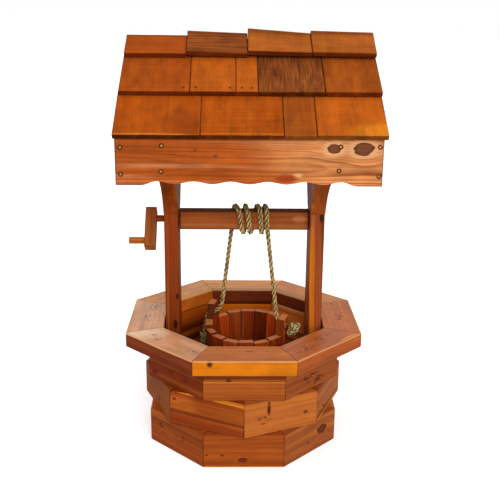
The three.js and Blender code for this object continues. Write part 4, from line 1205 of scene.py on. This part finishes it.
def smooth_line(points, gap):
    """A smooth curve through the points, as points an even gap apart."""
    padded = [2 * points[0] - points[1], *points, 2 * points[-1] - points[-2]]
    fine = []
    for before, start, end, after in zip(padded, padded[1:], padded[2:], padded[3:]):
        t1 = (start - before).length ** 0.5
        t2 = t1 + (end - start).length ** 0.5
        t3 = t2 + (after - end).length ** 0.5
        for i in range(spline_steps):
            t = t1 + (t2 - t1) * i / spline_steps
            a1 = before.lerp(start, t / t1)
            a2 = start.lerp(end, (t - t1) / (t2 - t1))
            a3 = end.lerp(after, (t - t2) / (t3 - t2))
            b1 = a1.lerp(a2, t / t2)
            b2 = a2.lerp(a3, (t - t1) / (t3 - t1))
            fine.append(b1.lerp(b2, (t - t1) / (t2 - t1)))
    fine.append(points[-1].copy())
    even, since = [fine[0]], 0.0
    for before, after in zip(fine, fine[1:]):
        length = (after - before).length
        while since + length >= gap:
            before = before.lerp(after, (gap - since) / length)
            even.append(before)
            length, since = (after - before).length, 0.0
        since += length
    return even


def carried_frames(line):
    """A pair of cross directions at each point of a line, carried along it without twist."""
    frames, normal = [], Vector((0, 1, 0.2))
    for i in range(len(line)):
        way = (line[min(i + 1, len(line) - 1)] - line[max(i - 1, 0)]).normalized()
        normal = (normal - way * normal.dot(way)).normalized()
        frames.append((normal.copy(), way.cross(normal)))
    return frames


def rope_fibre(name, pale, deep):
    """Manila: fibres run along each strand on a slant. Each strand is painted paler on its crown and darker
    in
    the grooves between strands: painted light and shade.
    """
    material, nodes = new_material(name)
    along, around, _ = nodes.split(nodes.out("ShaderNodeUVMap", uv_map="strand"))
    place = nodes.join(along, nodes.calc("MULTIPLY_ADD", along, 60.0, around))

    def fibres(scale, detail):
        stretched = nodes.vector("MULTIPLY", place, scale)
        return nodes.out("ShaderNodeTexNoise", {
            "Vector": stretched, "Scale": 1.0, "Detail": detail}, noise_dimensions="2D")

    fine, coarse = fibres((60, 26, 1), 3), fibres((20, 5, 1), 2)
    # Painted shade in the grooves between strands, painted light on their crowns.
    groove_shade = nodes.ramp(nodes.calc("ABSOLUTE", nodes.calc("SUBTRACT", around, 0.5)), 0.14, 0.4)
    share = nodes.ramp(nodes.calc("MULTIPLY_ADD", fine, 0.9, coarse), 0.65, 1.25)
    share = nodes.calc("MULTIPLY_ADD", groove_shade, 0.8, share)
    bump = nodes.out("ShaderNodeBump", {"Height": fine, "Strength": 0.8, "Distance": 0.0008})
    colour = nodes.blend(share, pale, deep)
    nodes.surface({"Base Color": colour, "Normal": bump, "Roughness": 0.6, "Specular IOR Level": 0.15})
    return material


def twisted_rope(name, line, frames, start, material, body, node, widths):
    """Three round strands laid round a line. The twist goes by how far along the rope the line starts."""
    sides = strand_sides
    points, faces, along = [], [], []
    gap = (line[1] - line[0]).length
    for third in range(3):
        first = len(points)
        for i, (place, (normal, side)) in enumerate(zip(line, frames)):
            angle = 2 * math.pi * ((start + i * gap) / rope_lay + third / 3)
            out = normal * math.cos(angle) + side * math.sin(angle)
            round_way = side * math.cos(angle) - normal * math.sin(angle)
            strand = widths[i] / 2 / strand_share
            centre = widths[i] / 2 - strand
            for k in range(sides):
                turn = math.pi + 2 * math.pi * k / sides
                point = place + out * (centre + strand * math.cos(turn))
                points.append(point + round_way * strand * strand_bulge * math.sin(turn))
        for i in range(len(line) - 1):
            for k in range(sides):
                a, b = first + i * sides + k, first + i * sides + (k + 1) % sides
                faces.append((a, b, b + sides, a + sides))
                u0, u1 = start + i * gap, start + (i + 1) * gap
                along.append([(u0, k / sides), (u0, (k + 1) / sides), (u1, (k + 1) / sides), (u1, k / sides)])
        last = first + (len(line) - 1) * sides
        faces += [tuple(range(first, first + sides))[::-1], tuple(range(last, last + sides))]
        along += [[(0, 0.5)] * sides] * 2
    piece = new_piece(name, points, faces, material, body, "rope_fibre", node)
    layer = piece.data.uv_layers.new(name="strand")
    layer.data.foreach_set("uv", [c for face in along for pair in face for c in pair])
    for polygon in piece.data.polygons:
        polygon.use_smooth = True
    return piece


manila = rope_fibre("manila", tint(255, 224, 148), tint(100, 64, 22))
knot_manila = rope_fibre("paler manila", tint(255, 240, 168), tint(96, 68, 22))
left_points, right_points = [[Vector(point) / 1000 for point in route] for route in (left_route, right_route)]
whole_line = smooth_line(left_points[::-1] + winding_route() + right_points, rope_step)
whole_frames = carried_frames(whole_line)
left_cut, right_cut = [min(range(len(whole_line)), key=lambda i: (whole_line[i] - points[0]).length)
                       for points in (left_points, right_points)]
stretches = {}
for label, start, end, node, body in [
    ("rope_left_end", 0, left_cut, "left_rope", None),
    ("rope_turns", left_cut, right_cut, "rope_winding", "crank"),
    ("rope_right_end", right_cut, len(whole_line) - 1, "right_rope", None),
]:
    line, frames = whole_line[start:end + 1], whole_frames[start:end + 1]
    past = [max(left_cut - i, i - right_cut, 0) * rope_step for i in range(start, end + 1)]
    widths = [hung_across + (wound_across - hung_across) * max(0, 1 - gap / squeezed_for) for gap in past]
    piece = twisted_rope(label, line, frames, start * rope_step, manila, body, node, widths)
    stretches[label] = (piece, line)

knot_rope = rope_across * 0.92
knot_steps = 40
knot_gap = 0.35
tail_steps = 7
tail_spread = 0.5


def overhand_line(middle, across, high, turn):
    """The line of a tight overhand knot, filling a space of that width and height."""
    points = []
    for i in range(knot_steps):
        t = -math.pi / 2 + knot_gap + (2 * math.pi - 2 * knot_gap) * i / (knot_steps - 1)
        x = math.sin(t) + 2 * math.sin(2 * t)
        y = math.cos(t) - 2 * math.cos(2 * t)
        z = -math.sin(3 * t)
        points.append(middle + turn @ Vector((x / 3 * across, y / 3 * across, z * high)))
    return points


knots = {}
for label, middle, across, high, node, turn in [
    ("knot_right", (0.1292, -0.0556, 0.2955), 0.034, 0.044, "right_knot",
     Matrix.Rotation(0.5, 3, "Y") @ Matrix.Rotation(0.6, 3, "X")),
    ("knot_left", (-0.1066, 0.0544, 0.226), 0.030, 0.040, "left_knot", Matrix.Rotation(0.3, 3, "X")),
]:
    knot = overhand_line(Vector(middle), across / 2 - knot_rope / 2, high / 2 - knot_rope / 2, turn)
    line = smooth_line(knot, rope_step)
    tails = [max(0, (i - len(line) + tail_steps) / tail_steps) for i in range(len(line))]
    widths = [knot_rope * (1 + tail_spread * tail) for tail in tails]
    knots[label] = twisted_rope(label, line, carried_frames(line), 0, knot_manila, "bucket", node, widths)

for label, far_end, lay, exit_point, held in [
    ("rope_turns", "object", "coiled", left_points[0], []),
    ("rope_left_end", "knot", "taut", left_points[0], ["knot_left"]),
    ("rope_right_end", "knot", "taut", right_points[0], ["knot_right"]),
]:
    piece, line = stretches[label]
    length = sum((after - before).length for before, after in zip(line, line[1:]))
    tuple(exit_point)
    [tuple(p) for p in line]
    [knots[name] for name in held]
for label in ("rope_left_end", "rope_right_end"):
    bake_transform(stretches[label][0])

low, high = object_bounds()
{"cad": [list(cad_low), list(cad_high)], "visual": [list(low), list(high)]}
